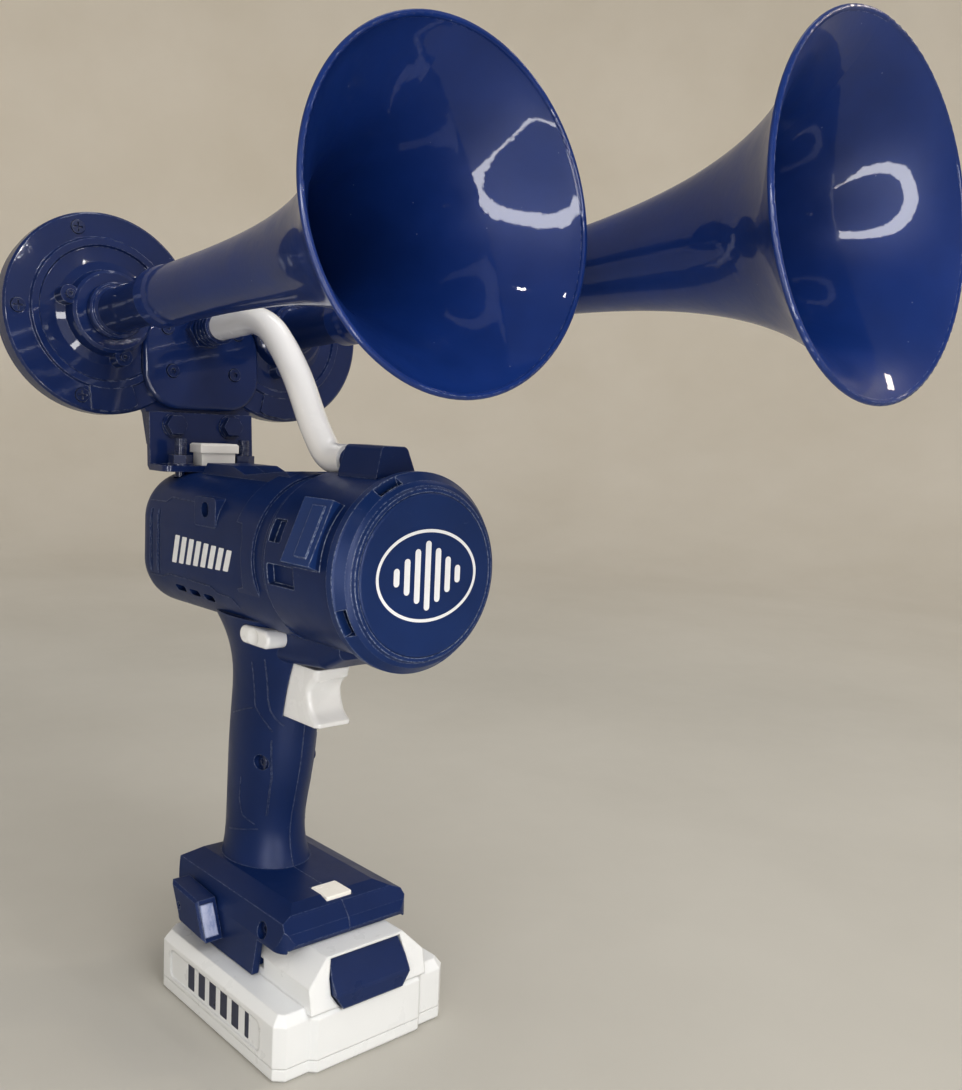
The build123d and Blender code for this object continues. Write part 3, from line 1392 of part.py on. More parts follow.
with BuildPart() as inlet_nipple:
    with BuildSketch(disc_plane(0)):
        with Locations((0, NIPPLE_UP)):
            Circle(5.95)
    extrude(amount=4.0)
    with BuildSketch(disc_plane(4.0)):
        with Locations((0, NIPPLE_UP)):
            RegularPolygon(9.6, 6)
    extrude(amount=4.5)
    with BuildSketch(disc_plane(8.5)):
        with Locations((0, NIPPLE_UP)):
            Circle(6.8)
    extrude(amount=NIPPLE_LENGTH - 8.5)
    # ribs of the screwed sleeve
    for s in (10.0, 13.2, 16.4, 19.6):
        with BuildSketch(disc_plane(s)):
            with Locations((0, NIPPLE_UP)):
                Circle(8.2)
        extrude(amount=1.9)
    with BuildSketch(disc_plane(NIPPLE_LENGTH)):
        with Locations((0, NIPPLE_UP)):
            Circle(HOSE_BORE_R - 0.05)
    extrude(amount=9.0)
    with BuildSketch(disc_plane(0)):
        with Locations((0, NIPPLE_UP)):
            Circle(2.6)
    extrude(amount=40.0, mode=Mode.SUBTRACT)
inlet_nipple.part.label = "inlet_nipple"
export_step(inlet_nipple.part, "parts/inlet_nipple.step")

# ---------------------------------------------------------------- bracket between horns and body
TAB_S = 1.0
PLATE = 3.0
TAB_HALF_W = 28.0
FLANGE_FRONT = -84.0


def tab_x(s, z):
    """Where the bracket's leaning tab, at distance s, crosses the height z."""
    up = (z - HORN_Z - s * sin(TILT)) / cos(TILT)
    return tilted(s, up)[0]


with BuildPart() as mount_bracket:
    with BuildSketch(Plane.XZ):
        Polygon(
            tilted(TAB_S, -44.5),
            tilted(TAB_S - PLATE, -44.5),
            (tab_x(TAB_S - PLATE, BARREL_TOP + 2.0), BARREL_TOP + 2.0),
            (tab_x(TAB_S - PLATE, BARREL_TOP) + 2.0, BARREL_TOP),
            (FLANGE_FRONT, BARREL_TOP),
            (FLANGE_FRONT, BARREL_TOP + PLATE),
            (tab_x(TAB_S, BARREL_TOP + PLATE), BARREL_TOP + PLATE),
            align=None,
        )
    extrude(amount=TAB_HALF_W, both=True)
    fillet(mount_bracket.edges().filter_by(Axis.Z).filter_by(lambda e: e.center().X > FLANGE_FRONT - 1), 4.0)
    with BuildSketch(disc_plane(TAB_S - PLATE - 1)):
        with Locations((-15.3, -51.0), (15.3, -51.0)):
            Circle(2.6)
    extrude(amount=PLATE + 2, mode=Mode.SUBTRACT)
    with BuildSketch(Plane.XY.offset(BARREL_TOP - 1)):
        with Locations((STUD_X, -STUD_Y), (STUD_X, STUD_Y)):
            Circle(3.0)
    extrude(amount=PLATE + 2, mode=Mode.SUBTRACT)
mount_bracket.part.label = "mount_bracket"
export_step(mount_bracket.part, "parts/mount_bracket.step")

with BuildPart() as bracket_bolts:
    with BuildSketch(disc_plane(TAB_S)):
        with Locations((-15.3, -51.0), (15.3, -51.0)):
            Circle(6.2)
    extrude(amount=0.9)
    with BuildSketch(disc_plane(TAB_S + 0.9)):
        with Locations((-15.3, -51.0), (15.3, -51.0)):
            RegularPolygon(5.4, 6)
    extrude(amount=3.6)
    chamfer(bracket_bolts.edges().group_by(Axis.X)[-1], 0.5)
    with BuildSketch(disc_plane(TAB_S)):
        with Locations((-15.3, -51.0), (15.3, -51.0)):
            Circle(2.5)
    extrude(amount=-10.0)
bracket_bolts.part.label = "bracket_bolts"
export_step(bracket_bolts.part, "parts/bracket_bolts.step")

FLANGE_TOP = BARREL_TOP + PLATE
with BuildPart() as flange_studs:
    with BuildSketch(Plane.XY.offset(BARREL_TOP - 2.6)):
        with Locations((STUD_X, -STUD_Y), (STUD_X, STUD_Y)):
            Circle(2.5)
    extrude(amount=18.4)
    # thread crests
    for turn in range(7):
        with BuildSketch(Plane.XY.offset(FLANGE_TOP + 5.4 + 1.05 * turn)):
            with Locations((STUD_X, -STUD_Y), (STUD_X, STUD_Y)):
                Circle(2.9)
        extrude(amount=0.5)
flange_studs.part.label = "flange_studs"
export_step(flange_studs.part, "parts/flange_studs.step")

with BuildPart() as flange_nuts:
    with BuildSketch(Plane.XY.offset(FLANGE_TOP)):
        with Locations((STUD_X, -STUD_Y), (STUD_X, STUD_Y)):
            Circle(6.4)
    extrude(amount=0.8)
    with BuildSketch(Plane.XY.offset(FLANGE_TOP + 0.8)):
        with Locations((STUD_X, -STUD_Y), (STUD_X, STUD_Y)):
            RegularPolygon(5.6, 6)
    extrude(amount=4.2)
    with BuildSketch(Plane.XY.offset(FLANGE_TOP)):
        with Locations((STUD_X, -STUD_Y), (STUD_X, STUD_Y)):
            Circle(2.5)
    extrude(amount=6.0, mode=Mode.SUBTRACT)
flange_nuts.part.label = "flange_nuts"
export_step(flange_nuts.part, "parts/flange_nuts.step")

with BuildPart() as spacer_block:
    with BuildSketch(Plane.XY.offset(FLANGE_TOP)):
        with Locations((STUD_X, 1.0)):
            Rectangle(9.0, 18.0)
    extrude(amount=6.2)
    with BuildSketch(Plane.XY.offset(FLANGE_TOP + 6.2)):
        with Locations((STUD_X, 1.0)):
            Rectangle(11.5, 20.6)
    extrude(amount=4.6)
    chamfer(spacer_block.faces().sort_by(Axis.Z)[-1].edges(), 0.8)
spacer_block.part.label = "spacer_block"
export_step(spacer_block.part, "parts/spacer_block.step")
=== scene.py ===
"""Looks of the twin-trumpet air horn gun: finishes, printed marks, springs, floor, light and camera."""

import json
import math

import bmesh
import bpy
from mathutils import Matrix, Vector
from mathutils.bvhtree import BVHTree


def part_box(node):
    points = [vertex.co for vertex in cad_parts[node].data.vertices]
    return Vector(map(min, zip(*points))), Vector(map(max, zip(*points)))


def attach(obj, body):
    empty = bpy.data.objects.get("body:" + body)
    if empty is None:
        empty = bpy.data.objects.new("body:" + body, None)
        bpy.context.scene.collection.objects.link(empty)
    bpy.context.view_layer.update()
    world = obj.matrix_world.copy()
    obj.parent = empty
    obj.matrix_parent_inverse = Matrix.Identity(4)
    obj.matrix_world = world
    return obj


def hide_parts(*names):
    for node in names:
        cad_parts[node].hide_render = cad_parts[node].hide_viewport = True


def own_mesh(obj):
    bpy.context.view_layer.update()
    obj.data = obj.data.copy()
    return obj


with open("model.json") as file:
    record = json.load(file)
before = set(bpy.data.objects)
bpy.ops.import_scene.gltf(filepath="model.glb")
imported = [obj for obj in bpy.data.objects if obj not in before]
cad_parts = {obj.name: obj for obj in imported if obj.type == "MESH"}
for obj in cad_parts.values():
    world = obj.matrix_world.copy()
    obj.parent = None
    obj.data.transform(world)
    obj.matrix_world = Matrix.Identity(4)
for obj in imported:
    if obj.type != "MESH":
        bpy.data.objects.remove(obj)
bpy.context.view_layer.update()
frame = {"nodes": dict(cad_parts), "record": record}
nodes = frame["nodes"]
slots = {part["node"]: part["material_slot"] for part in frame["record"]["subparts"]}

MM = 0.001


# ---------------------------------------------------------------- node helpers
NOISE_LOW, NOISE_HIGH = 0.3, 0.7    # most of a noise lies between these
EDGE_FACING = (0.985, 0.86)         # rounded normal times plain normal where edge wear starts, and is full


class Shade:
    """One node material, built up a node at a time."""

    INPUTS = {
        "colour": "Base Color",
        "rough": "Roughness",
        "metal": "Metallic",
        "coat": "Coat Weight",
        "coat_rough": "Coat Roughness",
        "normal": "Normal",
        "coat_normal": "Coat Normal",
        "gloss": "Specular IOR Level",
        "glow": "Emission Strength",
        "glow_colour": "Emission Color",
    }

    def __init__(self, name):
        self.material = bpy.data.materials.new(name)
        self.material.use_nodes = True
        self.tree = self.material.node_tree
        self.tree.nodes.clear()
        self.out = self.tree.nodes.new("ShaderNodeOutputMaterial")
        self.shader = self.tree.nodes.new("ShaderNodeBsdfPrincipled")
        self.tree.links.new(self.shader.outputs["BSDF"], self.out.inputs["Surface"])
        self.place = self.tree.nodes.new("ShaderNodeTexCoord").outputs["Object"]

    def put(self, value, socket):
        """Sets a socket, or links another socket to it."""
        if isinstance(value, bpy.types.NodeSocket):
            self.tree.links.new(value, socket)
        else:
            socket.default_value = value

    def node(self, kind, inputs=None, **settings):
        """A node of this kind, with its settings made and its inputs set or linked."""
        made = self.tree.nodes.new(kind)
        for key, value in settings.items():
            setattr(made, key, value)
        for key, value in (inputs or {}).items():
            self.put(value, made.inputs[key])
        return made

    def math(self, operation, a, b=0.0):
        made = self.node("ShaderNodeMath", operation=operation)
        self.put(a, made.inputs[0])
        self.put(b, made.inputs[1])
        return made.outputs[0]

    def noise(self, size, detail=3.0, rough=0.55, stretch=(1, 1, 1)):
        """Noise whose features are about size metres across."""
        scale = self.node("ShaderNodeVectorMath", operation="MULTIPLY")
        self.put(self.place, scale.inputs[0])
        self.put(stretch, scale.inputs[1])
        made = self.node(
            "ShaderNodeTexNoise",
            {"Vector": scale.outputs[0], "Scale": 1.0 / size, "Detail": detail, "Roughness": rough},
        )
        return made.outputs["Fac"]

    def varied(self, size, to_low, to_high, **noise):
        """Noise spread over to_low..to_high."""
        return self.spread(self.noise(size, **noise), NOISE_LOW, NOISE_HIGH, to_low, to_high)

    def cells(self, size):
        """The distance to the nearest middle of cells that are about size metres across."""
        made = self.node("ShaderNodeTexVoronoi", {"Vector": self.place, "Scale": 1.0 / size})
        return made.outputs["Distance"]

    def specks(self, size, share):
        """Small round spots, one in each cell of about size metres."""
        return self.spread(self.cells(size), share, share * 0.5, 0.0, 1.0)

    def spread(self, value, low, high, to_low, to_high):
        """The value with low..high stretched to to_low..to_high."""
        made = self.node("ShaderNodeMapRange", {"From Min": low, "From Max": high})
        made.inputs["To Min"].default_value = to_low
        made.inputs["To Max"].default_value = to_high
        self.put(value, made.inputs["Value"])
        return made.outputs["Result"]

    def mix(self, share, a, b):
        """Colour a where share is 0 and colour b where it is 1."""
        made = self.node("ShaderNodeMix", data_type="RGBA", clamp_factor=True)
        self.put(share, made.inputs[0])
        self.put(a if isinstance(a, bpy.types.NodeSocket) else (*a, 1.0), made.inputs[6])
        self.put(b if isinstance(b, bpy.types.NodeSocket) else (*b, 1.0), made.inputs[7])
        return made.outputs[2]

    def soft_edges(self, radius):
        """The normal of an edge rounded to radius, and a mask that is 1 along the edges."""
        rounded = self.node("ShaderNodeBevel", {"Radius": radius}, samples=4).outputs["Normal"]
        plain = self.node("ShaderNodeNewGeometry").outputs["Normal"]
        facing = self.node("ShaderNodeVectorMath", operation="DOT_PRODUCT")
        self.put(rounded, facing.inputs[0])
        self.put(plain, facing.inputs[1])
        return rounded, self.spread(facing.outputs["Value"], *EDGE_FACING, 0.0, 1.0)

    def bump(self, height, distance, normal=None):
        made = self.node("ShaderNodeBump", {"Distance": distance, "Height": height})
        if normal is not None:
            self.put(normal, made.inputs["Normal"])
        return made.outputs["Normal"]

    def set(self, **inputs):
        """Sets or links inputs of the shader, by the short names in INPUTS."""
        for key, value in inputs.items():
            self.put(value, self.shader.inputs[self.INPUTS[key]])


def toned(colour, factor):
    return tuple(min(1.0, c * factor) for c in colour)


# ---------------------------------------------------------------- kinds of finish
PAINT_DUST = (0.30, 0.34, 0.42)
# lighter edge colour of the paint: partly wear, partly a painted highlight
PAINT_WEAR_AND_HIGHLIGHT = (0.42, 0.47, 0.62)
PLASTIC_WORN = (0.36, 0.42, 0.58)


def paint(name, colour, coat=0.65, coat_rough=0.03, wear=0.5, edge=0.5 * MM):
    """Deep gloss paint: a clear coat with slight orange peel, dust specks, and light edges that are partly
    wear and partly a painted highlight.
    """
    s = Shade(name)
    rounded, edges = s.soft_edges(edge)
    cloud = s.varied(28 * MM, 0.0, 1.0)
    body = s.mix(cloud, toned(colour, 0.86), toned(colour, 1.12))
    dust = s.math("MULTIPLY", s.specks(9 * MM, 0.035), 0.35)
    body = s.mix(dust, body, PAINT_DUST)
    patchy = s.spread(s.noise(2.2 * MM, detail=4.0), 0.44, 0.6, 0.0, wear)
    # edges painted lighter in patches: partly wear, partly a painted edge highlight
    body = s.mix(s.math("MULTIPLY", edges, patchy), body, PAINT_WEAR_AND_HIGHLIGHT)
    fine = s.math("MULTIPLY", s.noise(0.5 * MM), 0.12)
    peel = s.math("ADD", s.noise(2.4 * MM, detail=1.0), fine)
    s.set(
        colour=body,
        rough=s.varied(14 * MM, 0.34, 0.44),
        gloss=0.12,
        coat=coat,
        coat_rough=coat_rough,
        normal=s.bump(peel, 0.03 * MM, rounded),
        coat_normal=s.bump(peel, 0.012 * MM, rounded),
    )
    return s.material


def moulded(name, colour, rough, grain=0.45 * MM, depth=0.02 * MM, wear=0.5, wear_colour=PLASTIC_WORN,
            edge=0.6 * MM, coat=0.0, spots=0.25, drift=0.11, raised=None):
    """Moulded plastic: fine spark-eroded grain, slow colour drift, rubbed edges and a few scuffs.

    raised is (axis height, radius, colour): what stands outside that radius about X takes the colour."""
    s = Shade(name)
    rounded, edges = s.soft_edges(edge)
    cloud = s.varied(35 * MM, 0.0, 1.0)
    body = s.mix(cloud, toned(colour, 1.0 - drift), toned(colour, 1.0 + drift))
    if raised:
        height, radius, tint = raised
        parts = s.node("ShaderNodeSeparateXYZ", {"Vector": s.place})
        side = parts.outputs["Y"]
        up = s.math("SUBTRACT", parts.outputs["Z"], height)
        square = s.math("ADD", s.math("MULTIPLY", side, side), s.math("MULTIPLY", up, up))
        outside = s.spread(s.math("SQRT", square), radius, radius + 0.3 * MM, 0.0, 1.0)
        body = s.mix(outside, body, tint)
    patchy = s.spread(s.noise(1.3 * MM, detail=5.0, rough=0.7), 0.40, 0.58, 0.0, wear)
    body = s.mix(s.math("MULTIPLY", edges, patchy), body, wear_colour)
    scuffs = s.spread(s.noise(7 * MM, detail=6.0, rough=0.7, stretch=(1, 1, 3)), 0.66, 0.80, 0.0, 0.35)
    body = s.mix(s.math("MULTIPLY", scuffs, spots), body, wear_colour)
    s.set(
        colour=body,
        rough=s.varied(11 * MM, rough - 0.05, rough + 0.06, detail=4.0),
        gloss=0.20,
        coat=coat,
        coat_rough=0.12,
        normal=s.bump(s.noise(grain, detail=2.0), depth, rounded),
    )
    return s.material


def metal(name, colour, rough, brush=(1, 1, 1)):
    """Bare metal with brushed streaks, a dull film and a painted highlight along its edges."""
    s = Shade(name)
    rounded, edges = s.soft_edges(0.25 * MM)
    streaks = s.noise(0.8 * MM, detail=4.0, stretch=brush)
    film = s.spread(s.noise(9 * MM, detail=4.0), 0.35, 0.7, 0.0, 0.45)
    body = s.mix(film, colour, toned(colour, 0.62))
    # every edge painted lighter: a painted highlight
    body = s.mix(s.math("MULTIPLY", edges, 0.5), body, toned(colour, 1.35))
    s.set(
        colour=body,
        metal=1.0,
        rough=s.spread(streaks, NOISE_LOW, NOISE_HIGH, rough - 0.06, rough + 0.1),
        normal=s.bump(streaks, 0.01 * MM, rounded),
    )
    return s.material


def fibrous(name, colour, dark):
    """Open cellular foam or felt."""
    s = Shade(name)
    cells = s.cells(0.5 * MM)
    s.set(
        colour=s.mix(s.spread(cells, 0.1, 0.6, 1.0, 0.0), colour, dark),
        rough=s.varied(3 * MM, 0.80, 0.90),
        normal=s.bump(cells, 0.12 * MM),
    )
    return s.material


def board(name):
    """Circuit board lacquer with faint tracks."""
    s = Shade(name)
    tracks = s.node(
        "ShaderNodeTexBrick",
        {
            "Vector": s.place,
            "Scale": 260.0,
            "Mortar Size": 0.03,
            "Color1": (0, 0, 0, 1),
            "Color2": (0.2, 0.2, 0.2, 1),
        },
    )
    lines = s.math("MULTIPLY", tracks.outputs["Fac"], 0.6)
    s.set(
        colour=s.mix(lines, (0.012, 0.11, 0.045), (0.10, 0.32, 0.12)),
        rough=s.varied(5 * MM, 0.28, 0.4),
        normal=s.bump(lines, 0.03 * MM),
    )
    return s.material


def scuffed_pad(name):
    """A pale rubbed plate, blue along its border."""
    s = Shade(name)
    rounded, edges = s.soft_edges(1.0 * MM)
    rub = s.spread(s.noise(3.5 * MM, detail=6.0, rough=0.72, stretch=(1, 1, 0.45)), 0.42, 0.66, 0.0, 1.0)
    body = s.mix(rub, (0.44, 0.48, 0.66), (0.22, 0.28, 0.50))
    body = s.mix(s.math("MULTIPLY", edges, 0.85), body, (0.05, 0.11, 0.34))
    s.set(
        colour=body,
        rough=s.spread(rub, 0.0, 1.0, 0.30, 0.48),
        normal=s.bump(s.noise(0.7 * MM), 0.03 * MM, rounded),
    )
    return s.material


def lens(name):
    """Frosted lens of the work light, faintly lit by a painted glow."""
    s = Shade(name)
    rounded, _edges = s.soft_edges(0.4 * MM)
    s.set(
        colour=s.mix(s.noise(6 * MM), (0.86, 0.84, 0.79), (0.93, 0.92, 0.88)),
        rough=s.varied(4 * MM, 0.18, 0.28),
        normal=s.bump(s.cells(1.1 * MM), 0.02 * MM, rounded),
        # a faint painted glow that brightens the lens
        glow_colour=(1.0, 0.95, 0.88, 1.0),
        glow=0.06,
    )
    return s.material


def ink(name, colour):
    """Screen-printed ink, a little uneven and thin in places."""
    s = Shade(name)
    thin = s.spread(s.noise(0.9 * MM, detail=5.0, rough=0.7), 0.60, 0.78, 0.0, 0.5)
    s.set(
        colour=s.mix(thin, colour, toned(colour, 0.72)),
        rough=s.varied(5 * MM, 0.27, 0.40),
        normal=s.bump(s.noise(0.35 * MM), 0.01 * MM),
    )
    return s.material


# ---------------------------------------------------------------- finishes of the record's slots
NAVY_BODY = (0.0052, 0.0200, 0.094)
NAVY_LIGHT = (0.0070, 0.0270, 0.118)
NAVY_HORN = (0.0046, 0.0170, 0.086)
NAVY_TRUMPET = (0.0045, 0.0240, 0.138)
NAVY_LOUVERS = (0.011, 0.040, 0.165)
RUBBED_BLUE = (0.45, 0.52, 0.68)
RUBBED_WHITE = (0.92, 0.92, 0.92)
WHITE_BATTERY = (0.79, 0.81, 0.83)
WHITE_CONTROL = (0.86, 0.875, 0.90)
WHITE_SPACER = (0.80, 0.79, 0.77)
WHITE_HOSE = (0.80, 0.80, 0.81)
ALONG_X = (0.3, 3, 3)
ACROSS_X = (3, 1, 1)

finishes = {
    "housing_navy": moulded("finish_housing_navy", NAVY_BODY, 0.36, wear=0.55),
    "housing_navy_light": moulded("finish_housing_navy_light", NAVY_LIGHT, 0.34, wear=1.0,
                                  wear_colour=RUBBED_BLUE, edge=0.7 * MM),
    "horn_navy": paint("finish_horn_navy", NAVY_HORN),
    "trumpet_navy": paint("finish_trumpet_navy", NAVY_TRUMPET, coat=0.52, wear=0.8),
    "battery_white": moulded("finish_battery_white", WHITE_BATTERY, 0.30, grain=0.6 * MM, depth=0.012 * MM,
                             wear=0.3, wear_colour=RUBBED_WHITE, edge=1.2 * MM, coat=0.3,
                             spots=0.0, drift=0.015),
    "control_white": moulded("finish_control_white", WHITE_CONTROL, 0.26, depth=0.006 * MM,
                             wear=0.2, wear_colour=(0.95, 0.95, 0.95), edge=1.0 * MM, coat=0.6,
                             spots=0.0, drift=0.012),
    "spacer_white": moulded("finish_spacer_white", WHITE_SPACER, 0.34, wear=0.3,
                            wear_colour=RUBBED_WHITE, spots=0.0, drift=0.02),
    "lens_white": lens("finish_lens_white"),
    "hose_white": moulded("finish_hose_white", WHITE_HOSE, 0.24, grain=2.2 * MM, depth=0.02 * MM,
                          wear=0.1, wear_colour=(0.9, 0.9, 0.9), coat=1.0, spots=0.0, drift=0.012),
    "button_navy": moulded("finish_button_navy", NAVY_BODY, 0.30, wear=0.55, edge=0.8 * MM, coat=0.4),
    "bracket_navy": paint("finish_bracket_navy", NAVY_HORN, coat_rough=0.06),
    "fastener_navy": paint("finish_fastener_navy", toned(NAVY_HORN, 0.8), coat_rough=0.07, wear=0.7,
                           edge=0.3 * MM),
    "fastener_steel": metal("finish_fastener_steel", (0.42, 0.42, 0.44), 0.30, brush=ALONG_X),
    "clip_face": scuffed_pad("finish_clip_face"),
    "inner_black": moulded("finish_inner_black", (0.012, 0.012, 0.014), 0.5, wear=0.2, spots=0.0),
    "inner_steel": metal("finish_inner_steel", (0.36, 0.36, 0.38), 0.35, brush=ALONG_X),
    "inner_aluminium": metal("finish_inner_aluminium", (0.62, 0.62, 0.63), 0.38),
    "magnet_grey": moulded("finish_magnet_grey", (0.05, 0.05, 0.055), 0.55, wear=0.3, spots=0.0),
    "copper": metal("finish_copper", (0.62, 0.24, 0.11), 0.32, brush=ACROSS_X),
    "cell_sleeve": moulded("finish_cell_sleeve", (0.04, 0.16, 0.22), 0.25, depth=0.008 * MM, coat=0.5,
                           spots=0.0),
    "board_green": board("finish_board_green"),
    "spring_steel": metal("finish_spring_steel", (0.45, 0.45, 0.47), 0.28),
    "filter_grey": fibrous("finish_filter_grey", (0.16, 0.16, 0.17), (0.02, 0.02, 0.02)),
}

for name, thing in nodes.items():
    thing.data.materials.clear()
    thing.data.materials.append(finishes[slots[name]])

# the louvered blocks standing out of the drum are a lighter blue
DRUM_AXIS_Z = 206.0 * MM
DRUM_RADIUS = 38.5 * MM
nodes["pump_drum"].data.materials[0] = moulded(
    "finish_drum", NAVY_BODY, 0.34, wear=1.0, wear_colour=RUBBED_BLUE, edge=0.7 * MM,
    raised=(DRUM_AXIS_Z, DRUM_RADIUS, NAVY_LOUVERS),
)


# ---------------------------------------------------------------- mesh helpers
def new_piece(name, mesh, finish):
    """An object of this bmesh, with its finish."""
    data = bpy.data.meshes.new(name)
    mesh.to_mesh(data)
    mesh.free()
    data.materials.append(finish)
    piece = bpy.data.objects.new(name, data)
    bpy.context.scene.collection.objects.link(piece)
    return piece


def circle(mesh, radius, height, count):
    """Vertices of a level circle about Z."""
    turns = [2 * math.pi * k / count for k in range(count)]
    return [mesh.verts.new((radius * math.cos(turn), radius * math.sin(turn), height)) for turn in turns]


def surface_of(*names):
    """A tree of the CAD faces of these nodes, to cast marks onto."""
    points, faces = [], []
    for name in names:
        mesh = nodes[name].data
        start = len(points)
        points.extend(v.co.copy() for v in mesh.vertices)
        faces.extend([start + i for i in p.vertices] for p in mesh.polygons)
    return BVHTree.FromPolygons(points, faces)


# ---------------------------------------------------------------- outlines of printed marks, in mm
CORNER_POINTS = 5
OVAL_POINTS = 120


def rounded_bar(u, v, width, height, corner, slant=0.0):
    """Outline of a bar centred at (u, v), leaning by slant over its height."""
    outline = []
    for cu, cv, start in ((1, 1, 0), (-1, 1, 90), (-1, -1, 180), (1, -1, 270)):
        for k in range(CORNER_POINTS):
            angle = math.radians(start + 90.0 * k / (CORNER_POINTS - 1))
            x = cu * (width / 2 - corner) + corner * math.cos(angle)
            y = cv * (height / 2 - corner) + corner * math.sin(angle)
            outline.append((u + x + slant * y / height, v + y))
    return outline


def oval_line(half_u, half_v, line):
    """Quads of an oval line round the origin."""
    faces = []
    for k in range(OVAL_POINTS):
        quad = []
        for step, inset in ((k, 0.0), (k + 1, 0.0), (k + 1, line), (k, line)):
            angle = 2 * math.pi * step / OVAL_POINTS
            quad.append(((half_u - inset) * math.cos(angle), (half_v - inset) * math.sin(angle)))
        faces.append(quad)
    return faces


def line_faces(points, width):
    """Mitred quads along a broken line."""
    corners = []
    for k, point in enumerate(points):
        here = Vector(point)
        before = Vector(points[max(k - 1, 0)])
        after = Vector(points[min(k + 1, len(points) - 1)])
        into = (here - before).normalized() if k else (after - here).normalized()
        away = (after - here).normalized() if k < len(points) - 1 else into
        across = Vector((-(into + away).y, (into + away).x)).normalized()
        half = width / 2 / max(0.5, across.dot(Vector((-into.y, into.x))))
        corners.append((here + across * half, here - across * half))
    return [
        [tuple(a[0]), tuple(a[1]), tuple(b[1]), tuple(b[0])]
        for a, b in zip(corners, corners[1:])
    ]


# ---------------------------------------------------------------- printed marks
PRINT_CELL = 1.2     # mm, the size a mark is cut to before it is cast
PRINT_SUNK = 0.03    # mm, how far a film's underside lies below the surface
CAST_FROM = 0.2      # metres from the origin that rays start at


def printed_mark(name, faces, across, up, outward, origin, target, finish, thick=0.10):
    """A thin printed film laid on the CAD surface: flat faces in mm, cut to cells and cast onto target."""
    across, up, outward, origin = Vector(across), Vector(up), Vector(outward), Vector(origin)
    mesh = bmesh.new()
    for outline in faces:
        mesh.faces.new([mesh.verts.new((u, v, 0.0)) for u, v in outline])
    bmesh.ops.remove_doubles(mesh, verts=mesh.verts, dist=1e-4)
    for axis, normal in enumerate((Vector((1, 0, 0)), Vector((0, 1, 0)))):
        values = [vert.co[axis] for vert in mesh.verts]
        at, high = min(values) + PRINT_CELL, max(values)
        while at < high:
            geometry = mesh.verts[:] + mesh.edges[:] + mesh.faces[:]
            bmesh.ops.bisect_plane(mesh, geom=geometry, plane_co=normal * at, plane_no=normal, dist=1e-5)
            at += PRINT_CELL
    for vert in mesh.verts:
        start = origin + (across * vert.co.x + up * vert.co.y) * MM + outward * CAST_FROM
        hit, _normal, _index, _distance = target.ray_cast(start, -outward)
        vert.co = (hit if hit is not None else start - outward * CAST_FROM) - outward * PRINT_SUNK * MM
    raised = bmesh.ops.extrude_face_region(mesh, geom=mesh.faces[:], use_keep_orig=True)
    for item in raised["geom"]:
        if isinstance(item, bmesh.types.BMVert):
            item.co += outward * (thick + PRINT_SUNK) * MM
    bmesh.ops.recalc_face_normals(mesh, faces=mesh.faces)
    piece = new_piece(name, mesh, finish)
    return piece


SIDES = ((-1, "near"), (1, "far"))
ink_white = ink("finish_ink_white", (0.82, 0.84, 0.88))
ink_navy = ink("finish_ink_navy", (0.012, 0.018, 0.055))

# a plain sound-level badge in an oval on the front plate
BADGE_HALF_WIDTH = 24.6
BADGE_HALF_HEIGHT = 18.0
BADGE_LINE = 1.25
LEVEL_HEIGHTS = (7.0, 14.0, 21.0, 27.0, 21.0, 14.0, 7.0)
LEVEL_PITCH = 5.0
LEVEL_WIDTH = 2.7
plate_low, plate_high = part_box("front_plate")
plate_centre = (plate_low + plate_high) / 2
badge = oval_line(BADGE_HALF_WIDTH, BADGE_HALF_HEIGHT, BADGE_LINE)
for k, height in enumerate(LEVEL_HEIGHTS):
    u = LEVEL_PITCH * (k - len(LEVEL_HEIGHTS) // 2)
    badge.append(rounded_bar(u, 0, LEVEL_WIDTH, height, corner=1.3))
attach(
    printed_mark("badge_print", badge, (0, 1, 0), (0, 0, 1), (1, 0, 0),
                 (plate_high.x, plate_centre.y, plate_centre.z), surface_of("front_plate"),
                 ink_white),
    "tool",
)

# slanted bars along both sides of the barrel, each a little shorter than the one behind it
BARREL_BARS = 8
BARREL_BAR_X = -66.0
BARREL_BAR_Z = 201.5
BARREL_BAR_PITCH = 6.8
BARREL_BAR_WIDTH = 4.3
BARREL_BAR_HEIGHT = 13.0
BARREL_BAR_SHRINK = 0.5
housing = surface_of("housing_right", "housing_left")
for side, label in SIDES:
    bars = [
        rounded_bar(BARREL_BAR_X + BARREL_BAR_PITCH * k, BARREL_BAR_Z, BARREL_BAR_WIDTH,
                    BARREL_BAR_HEIGHT - BARREL_BAR_SHRINK * k, corner=0.5, slant=3.2)
        for k in range(BARREL_BARS)
    ]
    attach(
        printed_mark("barrel_bars_" + label, bars, (1, 0, 0), (0, 0, 1), (0, side, 0), (0, 0, 0),
                     housing, ink_white),
        "tool",
    )

